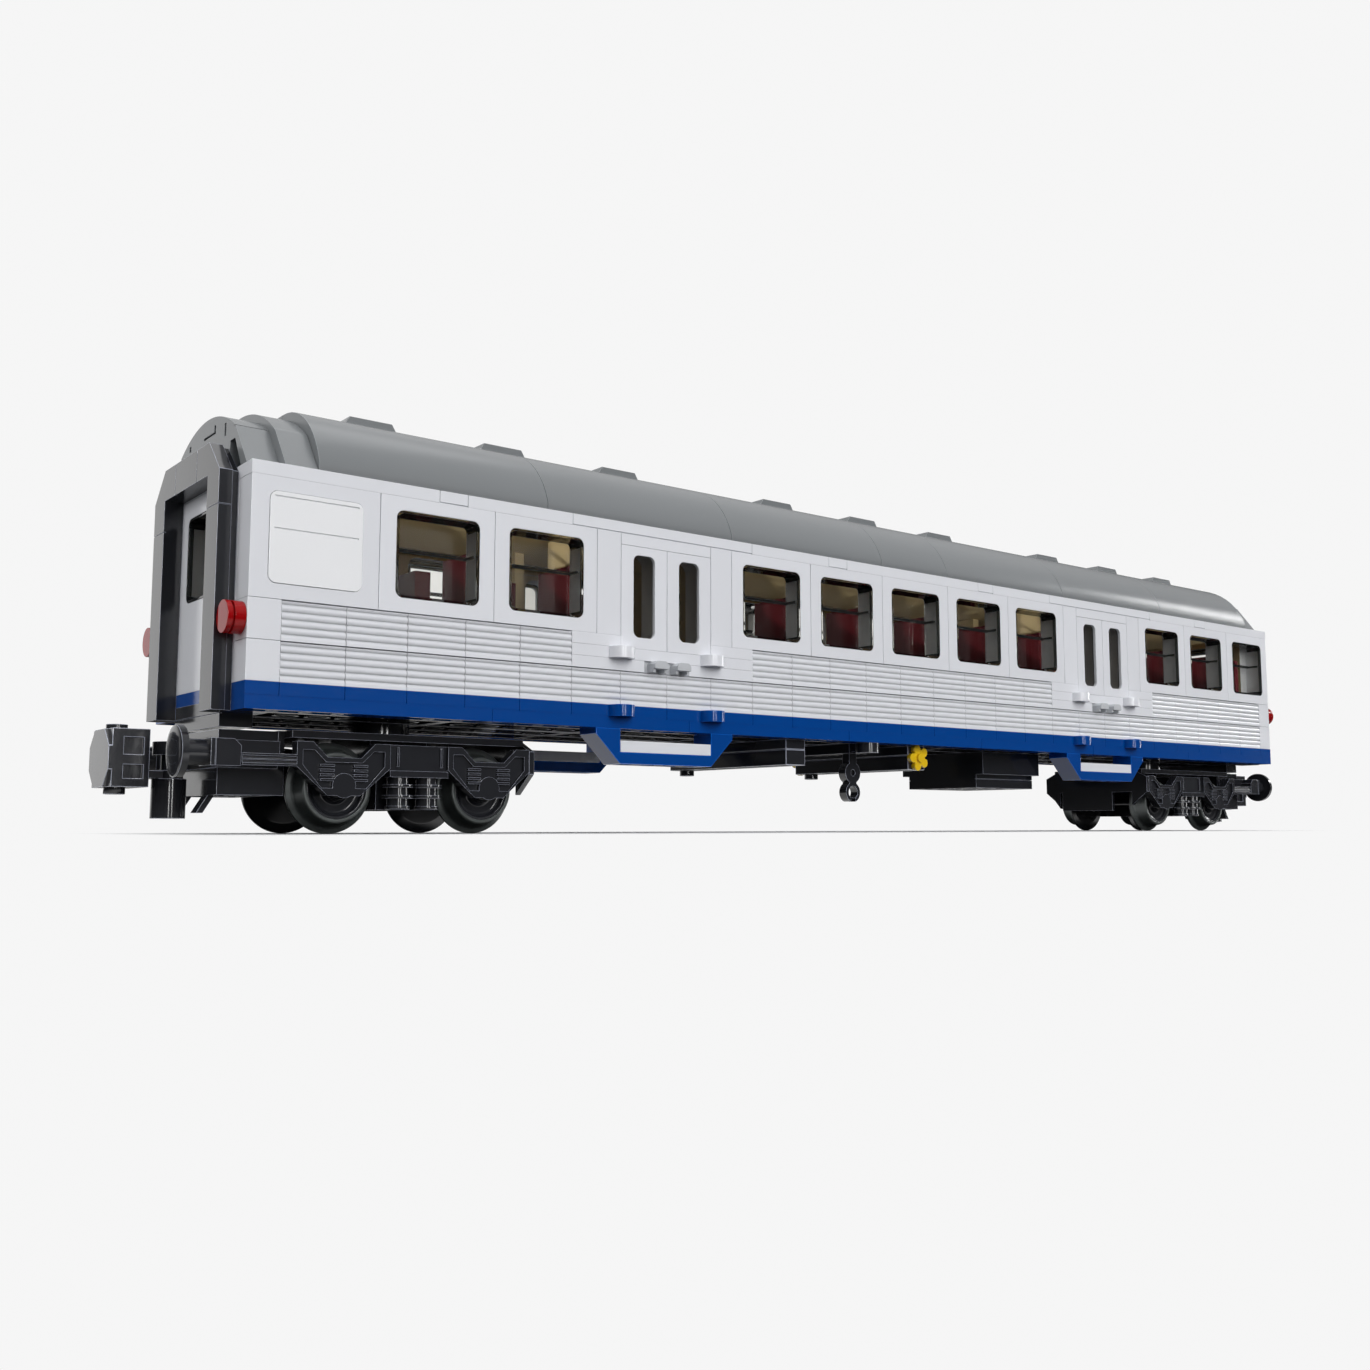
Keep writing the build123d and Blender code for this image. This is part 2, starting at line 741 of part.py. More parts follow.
def roof_end():
    """Two stepped segments between the full roof and the end of the body."""
    high = section_x(crest_outline(crest_high, foot_high), at(1), at(2))
    low = section_x(crest_outline(crest_low, foot_low), at(0), at(1))
    crease, crease_h, apex_h = crest_low
    base = rail_top + seam / 2
    z = rail_top + crease_h
    tools = [block(at(0) + shell, at(2) + past, -crease + shell, crease - shell, rail_top - past, z - shell)]
    for side in (-1, 1):
        pocket = [(side * (crease - shell), base - past), (side * (crease - shell), z - shell),
                  (side * crease, z - shell), (side * (foot_low - shell), base - past)]
        tools.append(prism_x(pocket, at(0) - past, at(0) + pocket_depth))
        tools.append(block(at(0) - past, at(1), side * (crease - past), side * (crease + past),
                           z - seam / 2, z + seam / 2))
    face = at(0) + seam_depth * 2
    slots = [(-13.6, z - 1.2, z + 2.0), (-6.2, z + 1.0, z + 3.2), (12.0, z + 0.4, z + 1.8)]
    tools += [block(at(0) - past, face, y, y + crest_slot, z0, z1) for y, z0, z1 in slots]
    tools.append(block(at(0) - past, face, -6.2, 2.6, z + 1.0, z + 1.0 + crest_slot / 2))
    return [cut(fuse([high, low]), tools)]


# ---------------------------------------------------------------- inside

def ceiling():
    return [block(at(1) + seam, at(coach_studs - 1) - seam, -inner_y + seam, inner_y - seam,
                  rail_top - plate, rail_top)]


def seat(x, side, facings):
    """Bench with an upright back. It faces +X, -X or both ways."""
    outer = inner_y - seam
    parts = []
    for facing in facings:
        parts.append(block(x, x + facing * seat_back_t, side * aisle_half, side * outer,
                           sill_top, sill_top + seat_back_h))
        parts.append(block(x, x + facing * stud, side * aisle_half, side * outer,
                           sill_top, sill_top + seat_h))
    return fuse(parts)


def seats():
    """Benches along both sides of an aisle, their backs level with the window posts."""
    clear = partition_t / 2 + fit
    pieces = []
    for side in (-1, 1):
        pieces += [seat(at(number), side, (-1, 1)) for number in seat_pairs]
        pieces += [seat(at(number) + clear, side, (1,)) for number in seats_forward]
        pieces += [seat(at(number) - clear, side, (-1,)) for number in seats_back]
    return pieces


def partitions():
    """Cross walls at the vestibules, with a way through the middle."""
    pieces = []
    for number in partition_studs:
        x = at(number)
        for side in (-1, 1):
            pieces.append(block(x - partition_t / 2, x + partition_t / 2, side * (aisle_half + past),
                                side * (inner_y - seam), sill_top, rail_top - plate - seam))
    return pieces


# ---------------------------------------------------------------- underframe gear

def cross_beam(start, half):
    """Hollow beam across the underside, with a round foot under its far end."""
    x0 = at(start)
    x1 = at(start + 1)
    low = sill_z - stud
    body = block(x0, x1, -half, half, low, sill_z)
    score = block(x0 - past, x1 + past, -half - past, half + past,
                  sill_z - plate - seam / 4, sill_z - plate + seam / 4)
    skin_only = block(x0 + seam_depth, x1 - seam_depth, -half + seam_depth, half - seam_depth, low, sill_z)
    hollow = block(x0 + beam_wall, x1 - beam_wall, -half + beam_wall, half - stud, low - past, low + cell_h)
    foot = rod_z(stud_r, low - beam_foot, low, (x0 + x1) / 2, half - stud / 2)
    return fuse([cut(body, [hollow, cut(score, [skin_only])]), foot])


def brake_knobs():
    """Yellow five-lobed knobs on the ends of the brake beam."""
    pieces = []
    x = at(knob_beam) + stud / 2
    z = sill_z - stud / 2
    lobe_r = knob_r * 0.34
    for side in (-1, 1):
        y0 = side * knob_beam_half
        y1 = side * (knob_beam_half + knob_t)
        parts = [rod_y(knob_r * 0.62, y0, y1, x, z)]
        for lobe in range(knob_lobes):
            swing = Vector(0, knob_r - lobe_r).rotate(Axis.Z, lobe * 360 / knob_lobes + 20)
            parts.append(rod_y(lobe_r, y0, y1, x + swing.X, z + swing.Y))
        hub = rod_y(lobe_r, y1, y1 + side * knob_t / 2, x, z)
        pieces.append(fuse(parts + [hub]))
    return pieces


def ring_hanger():
    """Cross plate with a round end, and the ring link that hangs from it on the right side."""
    x0 = at(hanger_start)
    x1 = at(hanger_start + 1)
    x = (x0 + x1) / 2
    neck = 3.0
    arm = block(x0, x1, -hanger_arm, 0, sill_z - plate, sill_z)
    end = rod_z(stud / 2 - seam, sill_z - plate, sill_z, x, -hanger_arm - stud / 2)
    web = block(x - neck, x + neck, -hanger_arm - neck, -hanger_arm, sill_z - plate + seam_depth, sill_z)
    y0 = -link_y - link_half
    y1 = -link_y + link_half
    stem = block(x - link_half, x + link_half, y0, y1, link_ring_z + link_ring_r, sill_z - plate)
    hub = rod_y(link_hub_r, y0, y1, x, link_hub_z)
    neck_low = block(x - link_half, x + link_half, y0, y1, link_ring_z + link_hole_r, link_hub_z)
    ring = rod_y(link_ring_r, y0, y1, x, link_ring_z)
    hole = rod_y(link_hole_r, y0 - past, y1 + past, x, link_ring_z)
    mouth = block(x - past, x + past, y0 - past, y1 + past, link_ring_z - link_ring_r - past, link_ring_z)
    eye = rod_y(eye_r, y0 - past, y0 + past, x, link_hub_z)
    return [cut(fuse([arm, end, web, stem, hub, neck_low, ring]), [hole, mouth, eye])]


def equipment_box():
    """Stepped box under the floor: a core, two flanks and a tray."""
    x0 = at(box_start)
    x1 = at(box_start + box_studs)
    low = sill_z - brick
    core = block(x0, x1, -box_half, box_half, low, sill_z)
    flank = block(x0, x1, -box_half - plate, box_half + plate, sill_z - stud, sill_z)
    tray = block(x0, x1, -box_half, box_half, low - plate, low)
    hollow = hollow_under(x0, x1, -box_half, box_half, low - plate)
    tubes = [cut(rod_z(tube_r, low - plate, low - plate + cell_h, at(box_start + number), y),
                 [rod_z(stud_r, low - plate - past, low - plate + cell_h, at(box_start + number), y)])
             for number in range(1, box_studs) for y in (-stud, 0, stud)]
    scores = [block(x0 - past, x1 + past, side * (box_half - seam_depth), side * (box_half + past),
                    low - seam / 2, low + seam / 2) for side in (-1, 1)]
    return [fuse([cut(fuse([core, flank, tray]), scores + [hollow])] + tubes)]


def pivot_pins():
    """Turntable plate and pin under the floor at each bogie."""
    plates = []
    for side in (-1, 1):
        x = side * bogie_x
        disc = rod_z(stud, sill_z - plate, sill_z, x, 0)
        pin = rod_z(pivot_r, sill_z - plate - brick, sill_z - plate, x, 0)
        plates.append(fuse([disc, pin]))
    return plates


# ---------------------------------------------------------------- bogie, drawn about its pivot, outer end at -X

def bogie_frame():
    """Top plate, bolster, end beam and nose that carry the side frames."""
    end = bogie_half
    bolster = stud
    low = frame_low - plate
    parts = [block(-end, end, -side_in, side_in, bogie_top - top_plate_h, bogie_top),
             block(-bolster, bolster, -side_in, side_in, frame_step, frame_top),
             block(-bolster, bolster, -1.5 * stud, 1.5 * stud, frame_top - past, bogie_top - past),
             block(-bolster, bolster, -nose_half, nose_half, low, frame_step + past),
             block(-end - beam_t, -end, -nose_half, nose_half, frame_step - past, bogie_top)]
    parts += end_beam(end, end + beam_t)
    parts += nose()
    bore = rod_z(pivot_r + pivot_fit, frame_step - past, bogie_top + past, 0, 0)
    return [cut(fuse(parts), [bore, hollow_under(-bolster, bolster, -nose_half, nose_half, low)])]


def end_beam(x0, x1):
    """Inner end beam: sloping shoulders, a deeper middle and a gusset at each end."""
    slope = 6.9
    edge = frame_top - 0.4
    panel = [(-side_out, frame_step), (-side_out, edge), (-side_out + slope, bogie_top),
             (side_out - slope, bogie_top), (side_out, edge), (side_out, frame_step)]
    gusset = [(side_out, frame_step), (side_out - slope, frame_low + past), (side_out - slope, frame_step)]
    left = [(-y, z) for y, z in gusset]
    deep = block(x0, x1, -stud, nose_half, frame_low - past, frame_step)
    return [prism_x(panel, x0, x1), prism_x(gusset, x0, x1), prism_x(left, x0, x1), deep]


def nose():
    """Hollow plate under the buffer beam, with its clutch tubes and two wheel guards."""
    end = bogie_half
    body = cut(block(-nose_out, -end, -nose_half, nose_half, frame_low, frame_step),
               [block(-nose_out + nose_wall, -end - nose_wall, -nose_half + nose_wall,
                      nose_half - nose_wall, frame_low - past, frame_low + cell_h)])
    tubes = [cut(rod_z(tube_r, frame_low, frame_low + cell_h, -(end + nose_out) / 2, y),
                 [rod_z(stud_r, frame_low - past, frame_low + cell_h, -(end + nose_out) / 2, y)])
             for y in (-stud, 0, stud)]
    guards = []
    for side in (-1, 1):
        outline = [(-nose_out, frame_low), (-nose_out - guard_slant, frame_low - guard_h),
                   (-nose_out - guard_slant + guard_t, frame_low - guard_h),
                   (-nose_out + guard_t, frame_low)]
        y = side * nose_half / 2
        guards.append(prism_y(outline, y - guard_half, y + guard_half))
    return [body] + tubes + guards


def side_outline(inset):
    """Outline of a V-shaped side frame about its axle, moved in by inset."""
    wing = stud
    half = frame_half - inset
    top = frame_top - inset * 1.3
    notch = frame_top - frame_notch - inset * 0.8
    slant = frame_top - 6.0 + inset * 0.3
    foot = frame_foot + inset
    low = frame_low + inset * 1.2
    return [(-half, top), (-wing + inset / 4, top), (-spring_x - inset / 4, notch),
            (spring_x + inset / 4, notch), (wing - inset / 4, top), (half, top),
            (half, slant), (foot, low), (-foot, low), (-half, slant)]


def axle_frame(x):
    """One V frame: raised border, two springs and an axle box."""
    panel = Pos(x, 0, 0) * prism_y(side_outline(0), -side_out, -side_in)
    recess = Pos(x, 0, 0) * prism_y(side_outline(frame_border), -side_out - past, -side_out + frame_relief)
    adds = []
    root = -side_out + frame_relief + fit
    for hand in (-1, 1):
        mid = x + hand * spring_x
        for coil in range(spring_coils):
            z = axle_z + axle_r + coil * spring_pitch
            adds.append(block(mid - spring_half, mid + spring_half, -side_out, root,
                              z, z + spring_pitch / 2))
    adds.append(rod_y(hub_r, -side_out, root, x, axle_z + frame_relief / 2))
    body = fuse([cut(panel, [recess])] + adds)
    return cut(body, [rod_y(axle_r + bearing_fit, -side_out + past, 0, x, axle_z)])


def bogie_side():
    """One side of the bogie: two V frames, a centre box, damper stacks and a ribbed footboard."""
    parts = [axle_frame(side * wheelbase / 2) for side in (-1, 1)]
    shelf = frame_top - 2 * plate
    parts.append(block(-stud, stud, -side_out + past, -side_in, shelf, frame_top))
    parts.append(block(-stud, stud, -side_out, -side_in, shelf - cell_h, shelf))
    bar_half = spring_pitch / 4
    for x in (-stud + stud_r, stud - cell_h):
        parts.append(block(x - bar_half, x + bar_half, -side_out + seam_depth, -side_out + past,
                           shelf + past, frame_top - seam_depth))
    top = frame_top - plate
    board = block(-nose_out + 3.0, -bogie_half + fit * 4, -side_out, -side_in - fit * 2, top - 2.8, top)
    lines = [rod_x(board_groove, -nose_out, -bogie_half + past, -side_out, top - drop)
             for drop in (0.9, 1.9)]
    parts.append(cut(board, lines))
    return [fuse(parts + dampers(shelf - cell_h))]


def dampers(top):
    """Two stacks of round plates under the centre box."""
    pieces = []
    r = stud / 2 - seam
    low = frame_low - plate
    pitch = (top - low) / damper_drums
    for x in (-stud / 2, stud / 2):
        drums = [rod_z(r * 0.72, low, top, x, -damper_y)]
        for level in range(damper_drums):
            z = low + level * pitch
            drums.append(rod_z(r if level else r * 0.8, z + seam, z + pitch * 0.35, x, -damper_y))
        pieces.append(fuse(drums))
    return pieces


def wheelset(x):
    """Axle with its two flanged wheels, one turning piece."""
    parts = [rod_y(axle_r, -axle_half, axle_half, x, axle_z)]
    for side in (-1, 1):
        flange = rod_y(flange_r, side * (tread_y0 - flange_t), side * tread_y0, x, axle_z)
        turn = Rot(-90 * side, 0, 0)
        cone = Cone(tread_r, tread_out_r, tread_y1 - tread_y0)
        tread = Pos(x, side * (tread_y0 + tread_y1) / 2, axle_z) * turn * cone
        dish = rod_y(dish_r, side * (tread_y1 - dish_depth), side * (tread_y1 + past), x, axle_z)
        hub = rod_y(hub_r, side * (tread_y0 - flange_t - past), side * (tread_y1 + hub_out), x, axle_z)
        parts.append(fuse([cut(fuse([flange, tread]), [dish]), hub]))
    return [fuse(parts)]


# ---------------------------------------------------------------- buffers and coupler, drawn in the coach's frame

def buffer_beam():
    """Beam across the outer end of the bogie with a buffer at each side."""
    x_out = -end_x
    x_in = -bogie_x - bogie_half - beam_t
    top = bogie_top - fit * 2
    low = buffer_z
    deck = block(x_out, x_in, -nose_half, nose_half, low, top)
    skirt = block(x_out, x_in, -nose_half, nose_half, frame_step, low)
    shelf = block(x_out, x_in - past, -side_in + past, side_in - past, low, low + plate)
    arm = block(coupler_x, x_out + past, -stud / 2, stud / 2, low, frame_top)
    lug = rod_z(stud / 2, low, frame_top, coupler_x, 0)
    parts = [deck, skirt, shelf, arm, lug] + buffers()
    bore = rod_z(coupler_pin_r + pivot_fit, frame_step - past, frame_top + past, coupler_x, 0)
    return [cut(fuse(parts), [bore])]


def buffers():
    """Square blocks with a stem and a domed disc on each."""
    pieces = []
    x_face = -end_x - buffer_block
    x_back = -end_x + 2.7
    x_stem = x_face - buffer_stem
    x_disc = x_stem - buffer_disc
    low = buffer_z - 3.1
    dome = buffer_r - 0.8
    for side in (-1, 1):
        y = side * buffer_y
        outline = [(x_face, low), (x_back, low), (x_back, frame_top - cell_h),
                   (x_back - cell_h, frame_top), (x_face, frame_top)]
        score = [block(x_face + past, x_face + past + seam, y - stud, y - stud / 2 + seam, low - past,
                       frame_top + past),
                 block(x_face + past, x_face + past + seam, y + stud / 2 - seam, y + stud, low - past,
                       frame_top + past)]
        pieces.append(cut(prism_y(outline, y - stud / 2, y + stud / 2), score))
        pieces.append(rod_x(buffer_stem_r, x_stem, x_face, y, buffer_z))
        pieces.append(rod_x(buffer_r, x_disc, x_stem, y, buffer_z))
        cap = Pos(x_disc - buffer_dome / 2, y, buffer_z) * Rot(0, -90, 0) * Cone(dome, dome / 2, buffer_dome)
        pieces.append(cap)
    return pieces


def coupler():
    """Swinging coupler: a pin and post, an arm and the eight-sided face block."""
    top = frame_step - swivel_gap
    pin = rod_z(coupler_pin_r, top - past, frame_top - swivel_gap, coupler_x, 0)
    neck = rod_z(coupler_half * 0.4, post_neck, top, coupler_x, 0)
    post = rod_z(stud / 2, post_low, post_neck, coupler_x, 0)
    socket = rod_z(stud_r, post_low - past, post_low + post_socket, coupler_x, 0)
    x_back = coupler_x - coupler_arm
    x_front = x_back - coupler_long
    arm = block(x_back - past, coupler_x, -stud_r, stud_r, post_neck, top - seam)
    body = block(x_front, x_back, -coupler_half, coupler_half, coupler_low, coupler_top)
    mid = (coupler_low + coupler_top) / 2
    high = (coupler_top - coupler_low) / 2
    slots = []
    for side in (-1, 1):
        for z0, z1 in ((mid + 0.8, coupler_top - 2.0), (coupler_low + 2.0, mid - 1.6)):
            slots.append(block(x_front + 2.6, x_back - 1.4, side * (coupler_half - coupler_slot),
                               side * (coupler_half + past), z0, z1))
    corners = [(1, 0), (0, 1)], [(0, 1), (1, 0)]
    outline = []
    for index, (sy, sz) in enumerate(((1, -1), (1, 1), (-1, 1), (-1, -1))):
        pair = [(sy * (coupler_half - coupler_corner * a), mid + sz * (high - coupler_corner * b))
                for a, b in corners[index % 2]]
        outline += pair
    face = prism_x(outline, x_front - coupler_face, x_front)
    x_stud = x_front + stud / 4 + past
    studs = rod_z(stud_r, coupler_low - cell_h, coupler_top + 1.3, x_stud, 0)
    return [cut(fuse([pin, neck, post, arm, cut(body, slots), face, studs]), [socket])]


# ---------------------------------------------------------------- coach body nodes

os.makedirs("parts", exist_ok=True)

save("floor_deck", floor_deck())
save("sill_frame", sill_frame())
save("headstocks", headstocks())

wells = [step_frame(centre) for centre in door_centres]
save("step_frames", wells + other_side(wells))
boards = [step_board(centre) for centre in door_centres]
save("step_boards", boards + other_side(boards))

lower_wall = ribbed_wall()
save("ribbed_walls", lower_wall + other_side(lower_wall))
corners = corner_bricks()
save("corner_bricks", corners + other_side(corners))
bands = [door_band(centre) for centre in door_centres]
save("door_bands", bands + other_side(bands))

wall_pieces = [window_panel(start) for start in panel_starts]
wall_pieces += [column(start) for start in column_starts]
wall_pieces += [door_header(centre) for centre in door_centres]
save_sides("window_wall", wall_pieces)

leaves = [door_leaf(x) for x in leaf_centres()]
save("door_leaves", leaves + other_side(leaves))
panes = [leaf_pane(x) for x in leaf_centres()]
save("door_panes", panes + other_side(panes))

window_mids = [at(start + panel_studs / 2) for start in panel_starts if start != blank_start]
glazing = [window_insert(x) for x in window_mids]
end_glazing = end_insert()
save("window_inserts", glazing + other_side(glazing) + end_glazing + other_end(end_glazing))
blank = [blank_insert(at(blank_start + panel_studs / 2))]
save("blank_inserts", blank + other_side(blank))

rail = top_rail()
save("top_rails", rail + other_side(rail))

drums = round_plates(leaf_base - plate)
save("door_studs", drums + other_side(drums))
sill_drums = round_plates(sill_z + plate)
save("sill_studs", sill_drums + other_side(sill_drums))
clips = door_clips()
save("door_clips", clips + other_side(clips))

end_walls = end_wall()
save("end_walls", end_walls + other_end(end_walls))
save_ends("gangway", gangway())
lamps = tail_lamps()
save("tail_lamps", lamps + other_end(lamps))

sides = [roof_side(x0, x1) for x0, x1 in roof_spans()]
save("roof_sides", sides + other_side(sides))
save("roof_ridge", roof_ridge())
save("roof_vents", roof_vents())
save_ends("roof_end", roof_end())

save("ceiling", ceiling())
save("seats", seats())
save("partitions", partitions())

save("cross_beams", [cross_beam(plain_beam, plain_beam_half), cross_beam(knob_beam, knob_beam_half)])
save("brake_knobs", brake_knobs())
save("ring_hanger", ring_hanger())
save("equipment_box", equipment_box())
save("pivot_pins", pivot_pins())

# ---------------------------------------------------------------- bogie nodes, one set at each end

save_ends("bogie_frame", moved(bogie_frame(), -bogie_x))
frames = moved(bogie_side(), -bogie_x)
save_ends("bogie_sides", frames + other_side(frames))
save_ends("buffer_beam", buffer_beam())
save_ends("coupler", coupler())
for number, side in ((1, -1), (2, 1)):
    axle = wheelset(-bogie_x + side * wheelbase / 2)
    save(f"wheelset_a{number}", axle)
    save(f"wheelset_b{number}", other_end(axle))
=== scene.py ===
"""Brick-built model passenger coach: finished pieces, materials and studio."""
import json
import math
import random

import bmesh
import bpy
from bpy.props import (FloatProperty, FloatVectorProperty, IntProperty,
                       PointerProperty)
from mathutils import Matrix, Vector


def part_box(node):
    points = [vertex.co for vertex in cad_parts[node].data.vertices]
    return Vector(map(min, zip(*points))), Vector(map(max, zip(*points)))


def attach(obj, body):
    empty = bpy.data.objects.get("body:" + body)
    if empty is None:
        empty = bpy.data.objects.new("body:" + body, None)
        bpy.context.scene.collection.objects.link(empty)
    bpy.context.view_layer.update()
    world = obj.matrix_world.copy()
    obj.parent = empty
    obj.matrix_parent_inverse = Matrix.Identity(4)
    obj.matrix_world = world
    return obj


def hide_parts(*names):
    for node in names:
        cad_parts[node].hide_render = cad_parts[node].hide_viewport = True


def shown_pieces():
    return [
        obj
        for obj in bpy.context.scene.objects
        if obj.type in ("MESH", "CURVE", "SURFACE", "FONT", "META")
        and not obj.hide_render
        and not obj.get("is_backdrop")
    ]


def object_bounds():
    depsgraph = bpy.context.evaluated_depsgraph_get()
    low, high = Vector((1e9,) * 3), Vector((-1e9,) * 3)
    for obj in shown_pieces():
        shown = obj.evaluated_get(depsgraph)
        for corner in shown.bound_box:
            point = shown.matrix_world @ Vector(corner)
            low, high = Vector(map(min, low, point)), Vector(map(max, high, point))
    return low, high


bl_info = {
    "name": "Model passenger coach",
    "version": (1, 0, 0),
    "blender": (4, 5, 0),
    "location": "3D View > Sidebar > Coach",
    "description": "Builds the pieces, finishes and studio of a brick-built passenger coach",
    "category": "Object",
}

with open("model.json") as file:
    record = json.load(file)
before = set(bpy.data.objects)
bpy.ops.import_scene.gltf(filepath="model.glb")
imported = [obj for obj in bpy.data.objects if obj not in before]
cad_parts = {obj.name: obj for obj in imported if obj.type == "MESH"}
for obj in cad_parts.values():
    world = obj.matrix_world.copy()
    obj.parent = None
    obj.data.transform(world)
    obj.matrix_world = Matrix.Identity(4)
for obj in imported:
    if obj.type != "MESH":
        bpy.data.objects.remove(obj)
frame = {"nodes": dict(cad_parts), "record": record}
CAD_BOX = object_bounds()
RECORD = frame["record"]
BODY_OF = {node: body for body, nodes in RECORD["behaviour"]["bodies"].items() for node in nodes}
SLOT_OF = {part["node"]: part["material_slot"] for part in RECORD["subparts"]}
ENDS = (("a", -1), ("b", 1))

MM = 0.001
STUD = 8.0 * MM
SEED = 7


# ------------------------------------------------------------------ settings

def colour_prop(name, description, default):
    return FloatVectorProperty(name=name, description=description, subtype="COLOR", size=3,
                               min=0.0, max=1.0, default=default)


def length_prop(name, description, default_mm):
    return FloatProperty(name=name, description=description, unit="LENGTH", precision=5,
                         min=0.0, default=default_mm * MM)


class CoachColours(bpy.types.PropertyGroup):
    """Colours of the plastics and of the wheels."""
    white: colour_prop("White", "Walls, doors and treads", (0.80, 0.81, 0.85))
    bright_white: colour_prop("Bright white", "Blind panels", (0.93, 0.935, 0.95))
    pale_grey: colour_prop("Pale grey", "Clips under the doors", (0.56, 0.575, 0.60))
    blue: colour_prop("Blue", "Sills and step wells", (0.0, 0.055, 0.28))
    black: colour_prop("Black", "Bogies, gangways and underframe", (0.019, 0.020, 0.024))
    roof_grey: colour_prop("Roof grey", "Roof and its vents", (0.195, 0.206, 0.213))
    smoke: colour_prop("Window smoke", "Walls of the window inserts", (0.17, 0.18, 0.175))
    rim: colour_prop("Window rim", "Rims and bars of the window inserts", (0.025, 0.027, 0.028))
    pane: colour_prop("Pane tint", "Panes of the windows and doors", (0.90, 0.90, 0.88))
    lamp_red: colour_prop("Lamp red", "Tail lamps", (0.42, 0.004, 0.006))
    tan: colour_prop("Tan", "Ceiling and cross walls", (0.62, 0.49, 0.28))
    seat_red: colour_prop("Seat red", "Benches", (0.085, 0.012, 0.016))
    yellow: colour_prop("Yellow", "Brake knobs", (0.85, 0.55, 0.01))
    door_pane: colour_prop("Door pane tint", "Narrow panes of the doors", (0.62, 0.61, 0.58))
    tyre: colour_prop("Wheel metal", "Tyres and axle ends", (0.078, 0.088, 0.086))


class CoachSizes(bpy.types.PropertyGroup):
    """Sizes of the moulded details."""
    edge: length_prop("Moulded edge", "Radius on the edges of the bricks", 0.16)
    black_edge: length_prop("Black edge", "Radius on the beams, bogies and couplers", 0.22)
    fine_edge: length_prop("Fine edge", "Radius on thin and small pieces", 0.09)
    tube_outer: length_prop("Tube diameter", "Outside of the clutch tubes under the floor", 6.5)
    tube_inner: length_prop("Tube bore", "Inside of the clutch tubes", 4.8)
    pin_outer: length_prop("Pin diameter", "Clutch pins under the narrow plates", 3.2)
    pin_inner: length_prop("Pin bore", "Dimple in the clutch pins", 1.2)
    clutch_height: length_prop("Clutch height", "Length of the tubes and pins", 1.6)
    steps: IntProperty(name="Round steps", description="Sides of a turned piece", min=12, max=128,
                       default=72)


class CoachStudio(bpy.types.PropertyGroup):
    """Lights, floor and camera."""
    key: FloatProperty(name="Front light", description="Radiance of the large front light", default=3.3)
    top: FloatProperty(name="Top light", description="Radiance of the overhead light", default=1.2)
    strip: FloatProperty(name="Strip lights", description="Radiance of the upright strips", default=18.0)
    cabin: FloatProperty(name="Cabin light", description="Radiance of the light into the cabin",
                         default=520.0)
    cabin_fill: FloatProperty(name="Cabin fill", description="Radiance of the soft light into the cabin",
                              default=7.0)
    ambient: FloatProperty(name="Room", description="Strength of the light from all round", default=0.30)
    background: FloatProperty(name="Background", description="Brightness of the surroundings",
                              default=0.92)
    floor: FloatProperty(name="Floor", description="Brightness of the plain floor", default=0.90)
    glint: FloatProperty(name="Floor glint", description="Brightness of the floor in reflections",
                         default=1.3)
    bounce: FloatProperty(name="Floor bounce", description="Light that the floor sends back",
                          default=0.12)
    lens: FloatProperty(name="Lens", description="Focal length of the camera", unit="CAMERA",
                        default=35.2)
    azimuth: FloatProperty(name="Camera turn", description="Camera's direction, right from +Y",
                           subtype="ANGLE", default=math.radians(38.24))
    pitch: FloatProperty(name="Camera pitch", description="Camera's direction above level",
                         subtype="ANGLE", default=math.radians(6.0))
    place: FloatVectorProperty(name="Camera place", description="Where the camera stands",
                               subtype="TRANSLATION", unit="LENGTH", default=(-0.332, -0.3295, 0.002))


# ------------------------------------------------------------------ meshes

def corners(node):
    low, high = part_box(node)
    return Vector(low), Vector(high)


def islands(bm):
    """Lists of faces that hang together."""
    seen = set()
    found = []
    for start in bm.faces:
        if start.index in seen:
            continue
        seen.add(start.index)
        group = []
        stack = [start]
        while stack:
            face = stack.pop()
            group.append(face)
            for edge in face.edges:
                for other in edge.link_faces:
                    if other.index not in seen:
                        seen.add(other.index)
                        stack.append(other)
        found.append(group)
    return found


def round_edges(bm, width, turn=math.radians(35)):
    """Rounds the outer edges of each separate solid, as a mould leaves them, and marks the rounded faces
    for a painted highlight.
    """
    highlight_layer = bm.faces.layers.float.new("edge")
    bm.faces.index_update()
    for group in islands(bm):
        edges = {edge for face in group for edge in face.edges}
        sharp = [edge for edge in edges if len(edge.link_faces) == 2
                 and edge.calc_face_angle_signed(0.0) > turn]
        if sharp:
            rounded = bmesh.ops.bevel(bm, geom=sharp, offset=width, offset_type="OFFSET", segments=2,
                                      profile=0.6, affect="EDGES", clamp_overlap=True)
            for face in rounded["faces"]:
                face[highlight_layer] = 1.0


def tone_pieces(bm, seed):
    """Gives each separate solid its own slight tone, between -1 and 1."""
    tone = bm.verts.layers.float.new("tone")
    pick = random.Random(seed)
    bm.faces.index_update()
    for group in islands(bm):
        value = pick.uniform(-1.0, 1.0)
        for face in group:
            for vert in face.verts:
                vert[tone] = value


def smooth_shading(bm, turn=math.radians(32)):
    for face in bm.faces:
        face.smooth = True
    for edge in bm.edges:
        edge.smooth = not (len(edge.link_faces) == 2 and edge.calc_face_angle(0.0) > turn)


